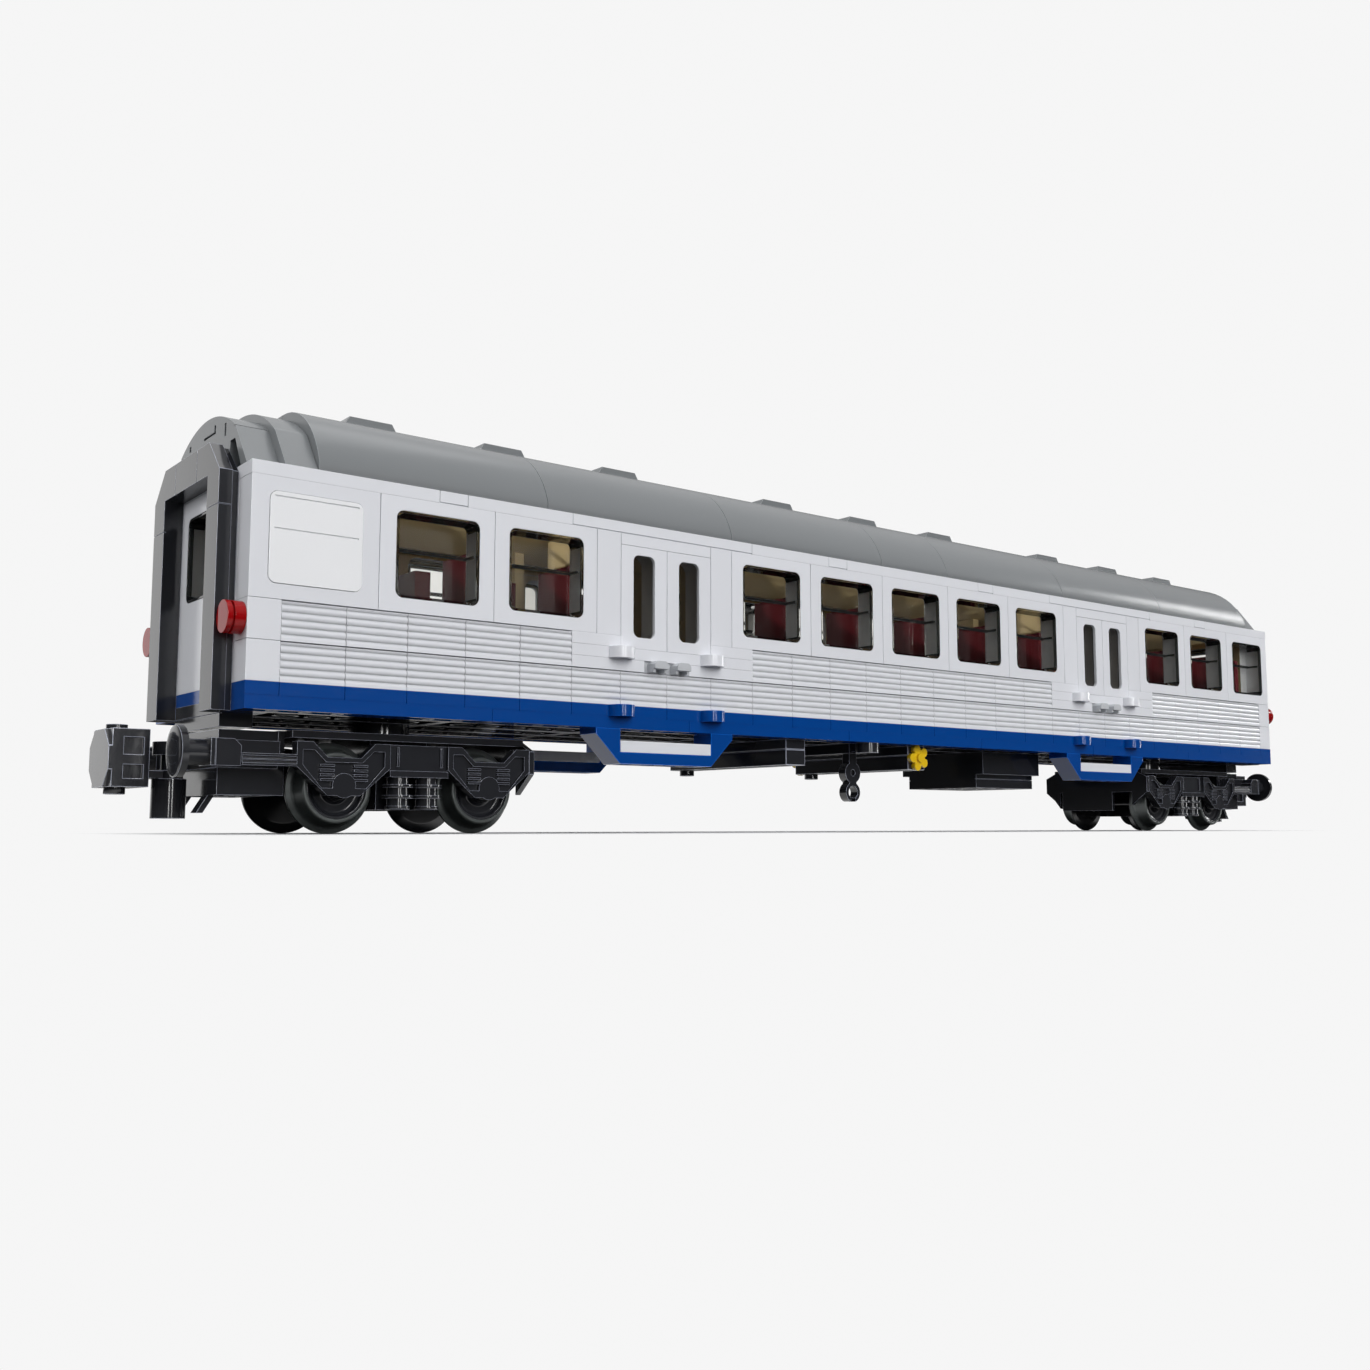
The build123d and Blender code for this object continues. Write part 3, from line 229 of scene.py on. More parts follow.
def finished(name, bm, material, seed=SEED, weighted=True):
    """Object at the origin from a bmesh, with tones, smooth shading and a material."""
    tone_pieces(bm, seed)
    smooth_shading(bm)
    mesh = bpy.data.meshes.new(name)
    bm.to_mesh(mesh)
    bm.free()
    mesh.materials.append(material)
    piece = bpy.data.objects.new(name, mesh)
    bpy.context.scene.collection.objects.link(piece)
    if weighted:
        flatten = piece.modifiers.new("flat faces", "WEIGHTED_NORMAL")
        flatten.keep_sharp = True
        baked = baked_mesh(piece)
        piece.modifiers.clear()
        piece.data = baked
    return piece


def baked_mesh(piece):
    """The piece's mesh with its modifiers applied."""
    bpy.context.view_layer.update()
    graph = bpy.context.evaluated_depsgraph_get()
    mesh = bpy.data.meshes.new_from_object(piece.evaluated_get(graph), preserve_all_data_layers=True,
                                           depsgraph=graph)
    mesh.name = piece.name
    return mesh


def place(piece, node, *replaced):
    """Rides with the node's body and stands for the nodes named."""
    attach(piece, BODY_OF[node])
    if replaced:
        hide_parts(*replaced)
    return piece


def moulding(node, material, edge, seed=SEED):
    """The node's shape with moulded edges, standing for the node."""
    bm = bmesh.new()
    bm.from_mesh(frame["nodes"][node].data)
    bmesh.ops.remove_doubles(bm, verts=bm.verts, dist=1e-6)
    bmesh.ops.dissolve_limit(bm, angle_limit=math.radians(0.6), verts=bm.verts, edges=bm.edges)
    round_edges(bm, edge)
    piece = finished(node + "_moulded", bm, material, seed)
    return place(piece, node, node)


def turned(bm, profile, centre, axis, steps):
    """Adds a closed turned form. The profile runs (along the axis, radius)."""
    along = Vector(axis)
    across = Vector((0, 0, 1)) if abs(along.z) < 0.5 else Vector((1, 0, 0))
    side = along.cross(across)
    rings = []
    for distance, radius in profile:
        ring = []
        for step in range(steps):
            turn = 2 * math.pi * step / steps
            spoke = across * math.cos(turn) + side * math.sin(turn)
            ring.append(bm.verts.new(Vector(centre) + along * distance + spoke * radius))
        rings.append(ring)
    faces = []
    for ring, following in zip(rings, rings[1:] + rings[:1]):
        for step in range(steps):
            after = (step + 1) % steps
            faces.append(bm.faces.new((ring[step], following[step], following[after], ring[after])))
    return faces


def tidy_turned(bm):
    bmesh.ops.remove_doubles(bm, verts=bm.verts, dist=1e-6)
    bmesh.ops.dissolve_degenerate(bm, dist=1e-7, edges=bm.edges)
    bmesh.ops.recalc_face_normals(bm, faces=bm.faces)


def rounded_profile(points, radius, steps=3):
    """Rounds the corners of a closed profile of (along, radius) points."""
    result = []
    count = len(points)
    for index, point in enumerate(points):
        here = Vector(point)
        before = Vector(points[index - 1])
        after = Vector(points[(index + 1) % count])
        back = before - here
        ahead = after - here
        if here.y <= 0 or back.length < 1e-9 or ahead.length < 1e-9:
            result.append(tuple(here))
            continue
        r = min(radius, back.length * 0.45, ahead.length * 0.45)
        start = here + back.normalized() * r
        end = here + ahead.normalized() * r
        for step in range(steps + 1):
            part = step / steps
            bend = (1 - part) ** 2 * start + 2 * part * (1 - part) * here + part ** 2 * end
            result.append((bend.x, bend.y))
    return result


# ------------------------------------------------------------------ node tools

def add(tree, kind, values=None, **settings):
    node = tree.nodes.new(kind)
    for key, value in settings.items():
        setattr(node, key, value)
    for key, value in (values or {}).items():
        node.inputs[key].default_value = value
    return node


def math_node(tree, operation, first, second=None, out=0):
    """Math node fed by a node or a number on each side."""
    node = add(tree, "ShaderNodeMath", operation=operation)
    for index, term in enumerate((first, second)):
        if term is None:
            continue
        if isinstance(term, (int, float)):
            node.inputs[index].default_value = term
        else:
            tree.links.new(term.outputs[out] if hasattr(term, "outputs") else term, node.inputs[index])
    return node


def mixed(tree, share, first, second):
    """Mix of two shaders. The share is a node's output and weighs the second."""
    mix = add(tree, "ShaderNodeMixShader")
    tree.links.new(share, mix.inputs[0])
    tree.links.new(first.outputs[0], mix.inputs[1])
    tree.links.new(second.outputs[0], mix.inputs[2])
    return mix


def smooth_step(tree, source, start, end, low, high):
    """Smooth step of an output from low to high between two values of it."""
    step = add(tree, "ShaderNodeMapRange", {"From Min": start, "From Max": end, "To Min": low,
                                            "To Max": high}, interpolation_type="SMOOTHSTEP")
    tree.links.new(source, step.inputs["Value"])
    return step


def new_group(name, kind, inputs, outputs):
    """Node group with named sockets: (name, socket type, default)."""
    group = bpy.data.node_groups.new(name, kind)
    for label, socket, default in inputs:
        made = group.interface.new_socket(label, in_out="INPUT", socket_type=socket)
        if default is not None:
            made.default_value = default
    for label, socket in outputs:
        group.interface.new_socket(label, in_out="OUTPUT", socket_type=socket)
    return group


# ------------------------------------------------------------------ shader groups

def moulded_surface():
    """Moulded plastic: tone by piece, faint clouding, flow ripple, scuffs on the gloss, painted shade in
    hollows, painted highlight on rounded edges.
    """
    name = "Moulded surface"
    if name in bpy.data.node_groups:
        return bpy.data.node_groups[name]
    group = new_group(name, "ShaderNodeTree", (
        ("Colour", "NodeSocketColor", (0.5, 0.5, 0.5, 1.0)),
        ("Piece tone", "NodeSocketFloat", 0.02),
        ("Clouding", "NodeSocketFloat", 0.02),
        ("Hollow shade", "NodeSocketFloat", 0.35),
        ("Edge sheen", "NodeSocketFloat", 0.0),
        ("Gloss", "NodeSocketFloat", 0.16),
        ("Scuffing", "NodeSocketFloat", 0.08),
        ("Ripple size", "NodeSocketFloat", 260.0),
        ("Grain size", "NodeSocketFloat", 2600.0),
    ), (("Colour", "NodeSocketColor"), ("Roughness", "NodeSocketFloat"), ("Height", "NodeSocketFloat")))
    inside = group.nodes.new("NodeGroupInput")
    outside = group.nodes.new("NodeGroupOutput")
    coords = add(group, "ShaderNodeTexCoord")

    def noise(scale, detail, name):
        node = add(group, "ShaderNodeTexNoise", {"Detail": detail, "Roughness": 0.55}, label=name)
        group.links.new(coords.outputs["Object"], node.inputs["Vector"])
        if isinstance(scale, str):
            group.links.new(inside.outputs[scale], node.inputs["Scale"])
        else:
            node.inputs["Scale"].default_value = scale
        return node

    cloud = noise(60.0, 3.0, "clouding")
    ripple = noise("Ripple size", 1.0, "flow ripple")
    grain = noise("Grain size", 2.0, "mould grain")
    scuff = noise(420.0, 6.0, "scuffs")
    tone = add(group, "ShaderNodeAttribute", attribute_name="tone", attribute_type="GEOMETRY")
    shift = math_node(group, "MULTIPLY", tone.outputs["Fac"], inside.outputs["Piece tone"])
    centred = math_node(group, "SUBTRACT", cloud.outputs["Fac"], 0.5)
    cloudy = math_node(group, "MULTIPLY", centred, inside.outputs["Clouding"])
    value = math_node(group, "ADD", math_node(group, "ADD", shift, cloudy), 1.0)
    # Painted shade: points that lie deep in a hollow are darkened in proportion to their depth.
    hollow = add(group, "ShaderNodeAttribute", attribute_name="hollow", attribute_type="GEOMETRY")
    deep = math_node(group, "MULTIPLY", hollow.outputs["Fac"], inside.outputs["Hollow shade"])
    shaded = math_node(group, "MULTIPLY", value, math_node(group, "SUBTRACT", 1.0, deep))
    # Painted highlight: the rounded edge faces that round_edges marked are lightened, most strongly on
    # black plastic.
    edge = add(group, "ShaderNodeAttribute", attribute_name="edge", attribute_type="GEOMETRY")
    painted_highlight = math_node(group, "MULTIPLY", edge.outputs["Fac"], inside.outputs["Edge sheen"])
    shaded = math_node(group, "MULTIPLY", shaded, math_node(group, "ADD", painted_highlight, 1.0))
    scale = add(group, "ShaderNodeVectorMath", operation="SCALE")
    group.links.new(inside.outputs["Colour"], scale.inputs[0])
    group.links.new(shaded.outputs[0], scale.inputs["Scale"])
    group.links.new(scale.outputs[0], outside.inputs["Colour"])
    rough = add(group, "ShaderNodeMapRange", {"From Min": 0.45, "From Max": 0.8, "To Min": 0.0,
                                              "To Max": 1.0})
    group.links.new(scuff.outputs["Fac"], rough.inputs["Value"])
    worn = math_node(group, "MULTIPLY", rough, inside.outputs["Scuffing"])
    gloss = math_node(group, "ADD", worn, inside.outputs["Gloss"])
    group.links.new(gloss.outputs[0], outside.inputs["Roughness"])
    fine = math_node(group, "MULTIPLY", grain, 0.06)
    height = math_node(group, "ADD", ripple, fine)
    group.links.new(height.outputs[0], outside.inputs["Height"])
    return group


def turned_surface():
    """Turned metal: rings round the axle, from the ring attribute, and a little dulling."""
    name = "Turned surface"
    if name in bpy.data.node_groups:
        return bpy.data.node_groups[name]
    group = new_group(name, "ShaderNodeTree", (
        ("Colour", "NodeSocketColor", (0.5, 0.5, 0.5, 1.0)),
        ("Rings", "NodeSocketFloat", 3000.0),
        ("Gloss", "NodeSocketFloat", 0.3),
        ("Dulling", "NodeSocketFloat", 0.2),
    ), (("Colour", "NodeSocketColor"), ("Roughness", "NodeSocketFloat"), ("Height", "NodeSocketFloat")))
    inside = group.nodes.new("NodeGroupInput")
    outside = group.nodes.new("NodeGroupOutput")
    ring = add(group, "ShaderNodeAttribute", attribute_name="ring", attribute_type="GEOMETRY")
    lines = add(group, "ShaderNodeTexNoise", {"Detail": 3.0}, noise_dimensions="1D")
    group.links.new(ring.outputs["Fac"], lines.inputs["W"])
    group.links.new(inside.outputs["Rings"], lines.inputs["Scale"])
    coords = add(group, "ShaderNodeTexCoord")
    patch = add(group, "ShaderNodeTexNoise", {"Scale": 240.0, "Detail": 4.0})
    group.links.new(coords.outputs["Object"], patch.inputs["Vector"])
    dull = add(group, "ShaderNodeMapRange", {"From Min": 0.35, "From Max": 0.7, "To Min": 0.72,
                                             "To Max": 1.0})
    group.links.new(patch.outputs["Fac"], dull.inputs["Value"])
    scale = add(group, "ShaderNodeVectorMath", operation="SCALE")
    group.links.new(inside.outputs["Colour"], scale.inputs[0])
    group.links.new(dull.outputs[0], scale.inputs["Scale"])
    group.links.new(scale.outputs[0], outside.inputs["Colour"])
    spread = math_node(group, "MULTIPLY", patch, inside.outputs["Dulling"])
    gloss = math_node(group, "ADD", spread, inside.outputs["Gloss"])
    group.links.new(gloss.outputs[0], outside.inputs["Roughness"])
    group.links.new(lines.outputs["Fac"], outside.inputs["Height"])
    return group


def surface(name, group, values, ior, bump, bump_size, **settings):
    """Material with a shader of its own, fed by one of the surface groups."""
    material = bpy.data.materials.new(name)
    material.use_nodes = True
    tree = material.node_tree
    shader = tree.nodes["Principled BSDF"]
    shader.inputs["IOR"].default_value = ior
    for socket, value in settings.items():
        shader.inputs[socket.replace("_", " ")].default_value = value
    finish = add(tree, "ShaderNodeGroup", node_tree=group)
    for socket, value in values.items():
        finish.inputs[socket].default_value = value
    relief = add(tree, "ShaderNodeBump", {"Strength": bump, "Distance": bump_size})
    tree.links.new(finish.outputs["Colour"], shader.inputs["Base Color"])
    tree.links.new(finish.outputs["Roughness"], shader.inputs["Roughness"])
    tree.links.new(finish.outputs["Height"], relief.inputs["Height"])
    tree.links.new(relief.outputs["Normal"], shader.inputs["Normal"])
    return material


def opaque_colour(colour):
    return (*colour, 1.0)


def plastic(name, colour, gloss=0.13, scuffing=0.06, tone=0.015, painted_highlight=0.0, bump=0.10, **settings):
    return surface(name, moulded_surface(), {
        "Colour": opaque_colour(colour), "Piece tone": tone, "Edge sheen": painted_highlight, "Gloss": gloss,
        "Scuffing": scuffing}, 1.52, bump, 0.02 * MM, **settings)


def through_light(material, tint):
    """Lets light through a clear piece without bending it, so what is behind is lit."""
    tree = material.node_tree
    shader = tree.nodes["Principled BSDF"]
    output = tree.nodes["Material Output"]
    path = add(tree, "ShaderNodeLightPath")
    clear = add(tree, "ShaderNodeBsdfTransparent")
    clear.inputs["Color"].default_value = opaque_colour(tint)
    either = math_node(tree, "MAXIMUM", path.outputs["Is Shadow Ray"], path.outputs["Is Diffuse Ray"])
    mix = mixed(tree, either.outputs[0], shader, clear)
    tree.links.new(mix.outputs[0], output.inputs["Surface"])
    return material


FINISHES = {}


def finish(slot):
    """Material of a slot, made once."""
    if slot in FINISHES:
        return FINISHES[slot]
    colours = bpy.context.scene.coach_colours
    if slot == "white_plastic":
        made = plastic("White plastic", colours.white, gloss=0.16)
    elif slot == "light_grey_plastic":
        made = plastic("Pale grey plastic", colours.pale_grey, gloss=0.18)
    elif slot == "blue_plastic":
        made = plastic("Blue plastic", colours.blue, gloss=0.12, painted_highlight=1.2, Specular_IOR_Level=0.3)
    # Black plastic gets a strong painted highlight on its rounded edges.
    elif slot == "black_plastic":
        made = plastic("Black plastic", colours.black, gloss=0.12, scuffing=0.03, painted_highlight=20.0,
                       bump=0.06)
    elif slot == "grey_plastic":
        made = plastic("Roof plastic", colours.roof_grey, gloss=0.24, scuffing=0.01, painted_highlight=0.3,
                       Specular_IOR_Level=0.3)
    elif slot == "tan_plastic":
        made = plastic("Tan plastic", colours.tan, gloss=0.5, Specular_IOR_Level=0.0)
    elif slot == "dark_red_plastic":
        made = plastic("Seat plastic", colours.seat_red, gloss=0.35, Specular_IOR_Level=0.1)
    elif slot == "yellow_plastic":
        made = plastic("Knob plastic", colours.yellow, gloss=0.15)
    elif slot == "wheel_metal":
        made = surface("Tyre metal", turned_surface(), {
            "Colour": opaque_colour(colours.tyre), "Gloss": 0.26, "Dulling": 0.22}, 1.5, 0.15, 0.02 * MM,
            Metallic=0.3)
    elif slot == "red_lens":
        made = surface("Lamp plastic", moulded_surface(), {
            "Colour": opaque_colour(colours.lamp_red), "Gloss": 0.05, "Scuffing": 0.05}, 1.5, 0.06,
            0.02 * MM, Transmission_Weight=0.25, Specular_IOR_Level=0.12)
        through_light(made, colours.lamp_red)
    elif slot == "bright_white":
        made = plastic("Bright white plastic", colours.bright_white, gloss=0.12)
    elif slot == "rim":
        made = surface("Smoked rim", moulded_surface(), {
            "Colour": opaque_colour(colours.rim), "Gloss": 0.05, "Scuffing": 0.03}, 1.5, 0.05, 0.02 * MM,
            Transmission_Weight=0.35)
    elif slot == "pane":
        made = surface("Clear pane", moulded_surface(), {
            "Colour": opaque_colour(colours.pane), "Gloss": 0.0, "Scuffing": 0.02, "Piece tone": 0.01,
            "Clouding": 0.03}, 1.18, 0.03, 0.01 * MM, Transmission_Weight=1.0)
        through_light(made, colours.pane)
    elif slot == "door_pane":
        made = surface("Door pane", moulded_surface(), {
            "Colour": opaque_colour(colours.door_pane), "Gloss": 0.0, "Scuffing": 0.02}, 1.18, 0.03,
            0.01 * MM, Transmission_Weight=1.0)
        through_light(made, colours.door_pane)
    elif slot == "smoke_window":
        made = surface("Smoked window", moulded_surface(), {
            "Colour": opaque_colour(colours.smoke), "Gloss": 0.02, "Scuffing": 0.03, "Piece tone": 0.01,
            "Clouding": 0.05}, 1.25, 0.05, 0.02 * MM, Transmission_Weight=1.0)
        through_light(made, colours.smoke)
    else:
        raise ValueError("no finish for slot " + slot)
    FINISHES[slot] = made
    return made


def facing_axis(polygon):
    return max(range(3), key=lambda index: abs(polygon.normal[index]))


def clear_panes(piece, reach, tint):
    """Clear finish on the panes, dark finish on their bars and the outer rims round them."""
    mesh = piece.data
    mesh.materials.append(finish(tint))
    mesh.materials.append(finish("rim"))
    rim = 0.4 * MM
    bar = 12.0 * MM * MM
    outermost = [max(abs(vertex.co[axis]) for vertex in mesh.vertices) for axis in (0, 1)]
    for polygon in mesh.polygons:
        axis = facing_axis(polygon)
        if axis == 2 or abs(polygon.normal[axis]) < 0.6:
            continue
        if polygon.area > reach:
            polygon.material_index = 1
        elif polygon.area < bar or abs(polygon.center[axis]) > outermost[axis] - rim:
            polygon.material_index = 2


def line_inside(piece, axis):
    """Tan finish on the faces that look into the cabin along an axis."""
    mesh = piece.data
    mesh.materials.append(finish("tan_plastic"))
    for polygon in mesh.polygons:
        if facing_axis(polygon) == axis and polygon.normal[axis] * polygon.center[axis] < 0:
            polygon.material_index = 1


def shade_hollows(piece, axis, depth):
    """Marks how deep each point lies behind the outermost face along an axis, 0 to 1; the surface group
    paints shade by it.
    """
    mesh = piece.data
    outermost = max(abs(vertex.co[axis]) for vertex in mesh.vertices)
    layer = mesh.attributes.new("hollow", "FLOAT", "POINT")
    for vertex, item in zip(mesh.vertices, layer.data):
        item.value = min(1.0, max(0.0, (outermost - abs(vertex.co[axis])) / depth))
    return piece


def dress(nodes, edge):
    """Moulded pieces for a list of nodes, each with its finish and seed."""
    return [moulding(node, finish(SLOT_OF[node]), edge, SEED + index)
            for index, node in enumerate(nodes)]


def keep(nodes):
    """CAD nodes that stay as they are and only take a finish."""
    for node in nodes:
        slots = frame["nodes"][node].data.materials
        slots.clear()
        slots.append(finish(SLOT_OF[node]))


def both(name):
    return [f"{name}_{end}" for end, _ in ENDS]


# ------------------------------------------------------------------ geometry nodes

def clutch_tree():
    """Rows of clutch tubes: plates across a grid, and a line of tubes in each plate."""
    name = "Clutch tubes"
    if name in bpy.data.node_groups:
        return bpy.data.node_groups[name]
    tree = new_group(name, "GeometryNodeTree", (
        ("Geometry", "NodeSocketGeometry", None),
        ("Plates along", "NodeSocketInt", 1), ("Plates across", "NodeSocketInt", 1),
        ("Pitch along", "NodeSocketFloat", 0.0), ("Pitch across", "NodeSocketFloat", 0.0),
        ("Tubes", "NodeSocketInt", 1), ("Tube pitch", "NodeSocketFloat", STUD),
        ("Outer diameter", "NodeSocketFloat", 0.0065), ("Inner diameter", "NodeSocketFloat", 0.0048),
        ("Height", "NodeSocketFloat", 0.0016), ("Sides", "NodeSocketInt", 32),
        ("Finish", "NodeSocketMaterial", None),
    ), (("Geometry", "NodeSocketGeometry"),))
    tree.is_modifier = True
    inside = tree.nodes.new("NodeGroupInput")
    outside = tree.nodes.new("NodeGroupOutput")
    take = inside.outputs
    link = tree.links.new
    total = math_node(tree, "ADD", take["Outer diameter"], take["Inner diameter"])
    middle = math_node(tree, "DIVIDE", total, 4.0)
    gap = math_node(tree, "SUBTRACT", take["Outer diameter"], take["Inner diameter"])
    wall = math_node(tree, "DIVIDE", gap, 2.0)
    circle = add(tree, "GeometryNodeCurvePrimitiveCircle")
    link(take["Sides"], circle.inputs["Resolution"])
    link(middle.outputs[0], circle.inputs["Radius"])
    section = add(tree, "GeometryNodeCurvePrimitiveQuadrilateral")
    link(wall.outputs[0], section.inputs["Width"])
    link(take["Height"], section.inputs["Height"])
    sweep = add(tree, "GeometryNodeCurveToMesh")
    link(circle.outputs["Curve"], sweep.inputs["Curve"])
    link(section.outputs["Curve"], sweep.inputs["Profile Curve"])
    smooth = add(tree, "GeometryNodeSetShadeSmooth", {"Shade Smooth": False})
    link(sweep.outputs["Mesh"], smooth.inputs["Geometry"])

    def grid(count_x, count_y, pitch_x, pitch_y, instance):
        """Points centred on the origin, with the instance on each."""
        points = add(tree, "GeometryNodeMeshGrid")
        for count, pitch, size, vertices in ((count_x, pitch_x, "Size X", "Vertices X"),
                                             (count_y, pitch_y, "Size Y", "Vertices Y")):
            if isinstance(count, int):
                points.inputs[vertices].default_value = count
                points.inputs[size].default_value = 0.0
                continue
            link(take[count], points.inputs[vertices])
            gaps = math_node(tree, "SUBTRACT", take[count], 1.0)
            length = math_node(tree, "MULTIPLY", gaps, take[pitch])
            link(length.outputs[0], points.inputs[size])
        placed = add(tree, "GeometryNodeInstanceOnPoints")
        cloud = add(tree, "GeometryNodeMeshToPoints")
        link(points.outputs["Mesh"], cloud.inputs["Mesh"])
        link(cloud.outputs["Points"], placed.inputs["Points"])
        link(instance, placed.inputs["Instance"])
        return placed.outputs["Instances"]

    line = grid("Tubes", 2, "Tube pitch", None, smooth.outputs["Geometry"])
    plates = grid("Plates along", "Plates across", "Pitch along", "Pitch across", line)
    real = add(tree, "GeometryNodeRealizeInstances")
    link(plates, real.inputs["Geometry"])
    merge = add(tree, "GeometryNodeMergeByDistance", {"Distance": 1e-6})
    link(real.outputs["Geometry"], merge.inputs["Geometry"])
    dressed = add(tree, "GeometryNodeSetMaterial")
    link(merge.outputs["Geometry"], dressed.inputs["Geometry"])
    link(take["Finish"], dressed.inputs["Material"])
    link(dressed.outputs["Geometry"], outside.inputs["Geometry"])
    return tree


def grown(name, tree, values, origin, node):
    """Mesh that a geometry tree makes, put at the origin given, riding with a node's body."""
    mesh = bpy.data.meshes.new(name + "_seed")
    seed = bpy.data.objects.new(name + "_seed", mesh)
    bpy.context.scene.collection.objects.link(seed)
    modifier = seed.modifiers.new("grow", "NODES")
    modifier.node_group = tree
    names = {item.name: item.identifier for item in tree.interface.items_tree
             if item.item_type == "SOCKET" and item.in_out == "INPUT"}
    for label, value in values.items():
        modifier[names[label]] = value
    result = baked_mesh(seed)
    seed.modifiers.clear()
    bpy.data.objects.remove(seed)
    bm = bmesh.new()
    bm.from_mesh(result)
    bmesh.ops.translate(bm, vec=origin, verts=bm.verts)
    bmesh.ops.recalc_face_normals(bm, faces=bm.faces)
    piece = finished(name, bm, finish(SLOT_OF[node]), weighted=False)
    return place(piece, node)


# ------------------------------------------------------------------ operators

class CoachOperator:
    """What every coach operator shares."""
    bl_options = {"REGISTER", "UNDO"}

    def execute(self, context):
        self.build(context.scene.coach_sizes)
        return {"FINISHED"}


class COACH_OT_walls(CoachOperator, bpy.types.Operator):
    """White side walls, door bands, rails and end walls"""
    bl_idname = "coach.walls"
    bl_label = "Walls"

    def build(self, sizes):
        for piece in dress(["window_wall_left", "window_wall_right", "door_leaves"], sizes.edge):
            line_inside(piece, 1)
        for piece in dress(["end_walls"], sizes.edge):
            line_inside(piece, 0)
        dress(["door_bands", "corner_bricks", "top_rails", "step_boards"], sizes.edge)
        moulding("blank_inserts", finish("bright_white"), sizes.edge)


class COACH_OT_ribbed_walls(CoachOperator, bpy.types.Operator):
    """Ribbed bricks of the lower walls"""
    bl_idname = "coach.ribbed_walls"
    bl_label = "Ribbed walls"

    def build(self, sizes):
        valley = 0.4 * MM
        for piece in dress(["ribbed_walls"], sizes.edge):
            # Painted shade: the valleys between the ribs come out darker.
            shade_hollows(piece, 1, valley)


class COACH_OT_sills(CoachOperator, bpy.types.Operator):
    """Blue sills, step wells and their fittings, with the clutch pins underneath"""
    bl_idname = "coach.sills"
    bl_label = "Sills and steps"

    def build(self, sizes):
        dress(["sill_frame", "step_frames"], sizes.edge)
        dress(["sill_studs", "door_studs", "door_clips"], sizes.fine_edge)
        low, high = corners("sill_frame")
        plate_studs = 8
        pins = {"Plates along": 7, "Plates across": 2, "Pitch along": plate_studs * STUD,
                "Pitch across": high.y - low.y - STUD, "Tubes": plate_studs - 1,
                "Outer diameter": sizes.pin_outer, "Inner diameter": sizes.pin_inner,
                "Height": sizes.clutch_height, "Sides": 16, "Finish": finish("blue_plastic")}
        grown("sill_pins", clutch_tree(), pins,
              Vector((0, 0, low.z + sizes.clutch_height / 2)), "sill_frame")
        low, high = corners("step_frames")
        wells = {"Plates along": 2, "Plates across": 2, "Pitch along": 26 * STUD,
                 "Pitch across": high.y - low.y - STUD, "Tubes": 3,
                 "Outer diameter": sizes.pin_outer, "Inner diameter": sizes.pin_inner,
                 "Height": sizes.clutch_height, "Sides": 16, "Finish": finish("blue_plastic")}
        grown("step_pins", clutch_tree(), wells,
              Vector((0, 0, low.z + sizes.clutch_height / 2)), "step_frames")


class COACH_OT_windows(CoachOperator, bpy.types.Operator):
    """Smoked window inserts and door panes"""
    bl_idname = "coach.windows"
    bl_label = "Windows"

    def build(self, sizes):
        pane_area = 40.0 * MM * MM
        windows, doors = dress(["window_inserts", "door_panes"], sizes.fine_edge)
        clear_panes(windows, pane_area, "pane")
        clear_panes(doors, pane_area, "door_pane")


class COACH_OT_roof(CoachOperator, bpy.types.Operator):
    """Curved roof, ridge, vents and stepped ends"""
    bl_idname = "coach.roof"
    bl_label = "Roof"

    def build(self, sizes):
        dress(["roof_sides", "roof_ridge", "roof_vents"] + both("roof_end"), sizes.edge)


class COACH_OT_gangways(CoachOperator, bpy.types.Operator):
    """Gangway frames, end beams and tail lamps"""
    bl_idname = "coach.gangways"
    bl_label = "Gangways and lamps"

    def build(self, sizes):
        dress(both("gangway") + ["headstocks"], sizes.edge)
        dress(["tail_lamps"], sizes.edge)


class COACH_OT_interior(CoachOperator, bpy.types.Operator):
    """Seats, cross walls and ceiling"""
    bl_idname = "coach.interior"
    bl_label = "Interior"

    def build(self, sizes):
        dress(["seats", "partitions"], sizes.edge)
        keep(["ceiling"])


class COACH_OT_underframe(CoachOperator, bpy.types.Operator):
    """Floor plates with their clutch tubes, beams, knobs, hanger and equipment box"""
    bl_idname = "coach.underframe"
    bl_label = "Underframe"

    def build(self, sizes):
        dress(["floor_deck"], sizes.edge)
        dress(["cross_beams", "equipment_box"], sizes.black_edge)
        dress(["ring_hanger", "brake_knobs"], sizes.fine_edge)
        keep(["pivot_pins"])
        low, high = corners("floor_deck")
        plate_studs = 6
        tubes = {"Plates along": 9, "Plates across": 3, "Pitch along": plate_studs * STUD,
                 "Pitch across": 2 * STUD, "Tubes": plate_studs - 1,
                 "Outer diameter": sizes.tube_outer, "Inner diameter": sizes.tube_inner,
                 "Height": sizes.clutch_height, "Sides": 24, "Finish": finish("black_plastic")}
        grown("floor_tubes", clutch_tree(), tubes,
              Vector((0, 0, low.z + sizes.clutch_height / 2)), "floor_deck")


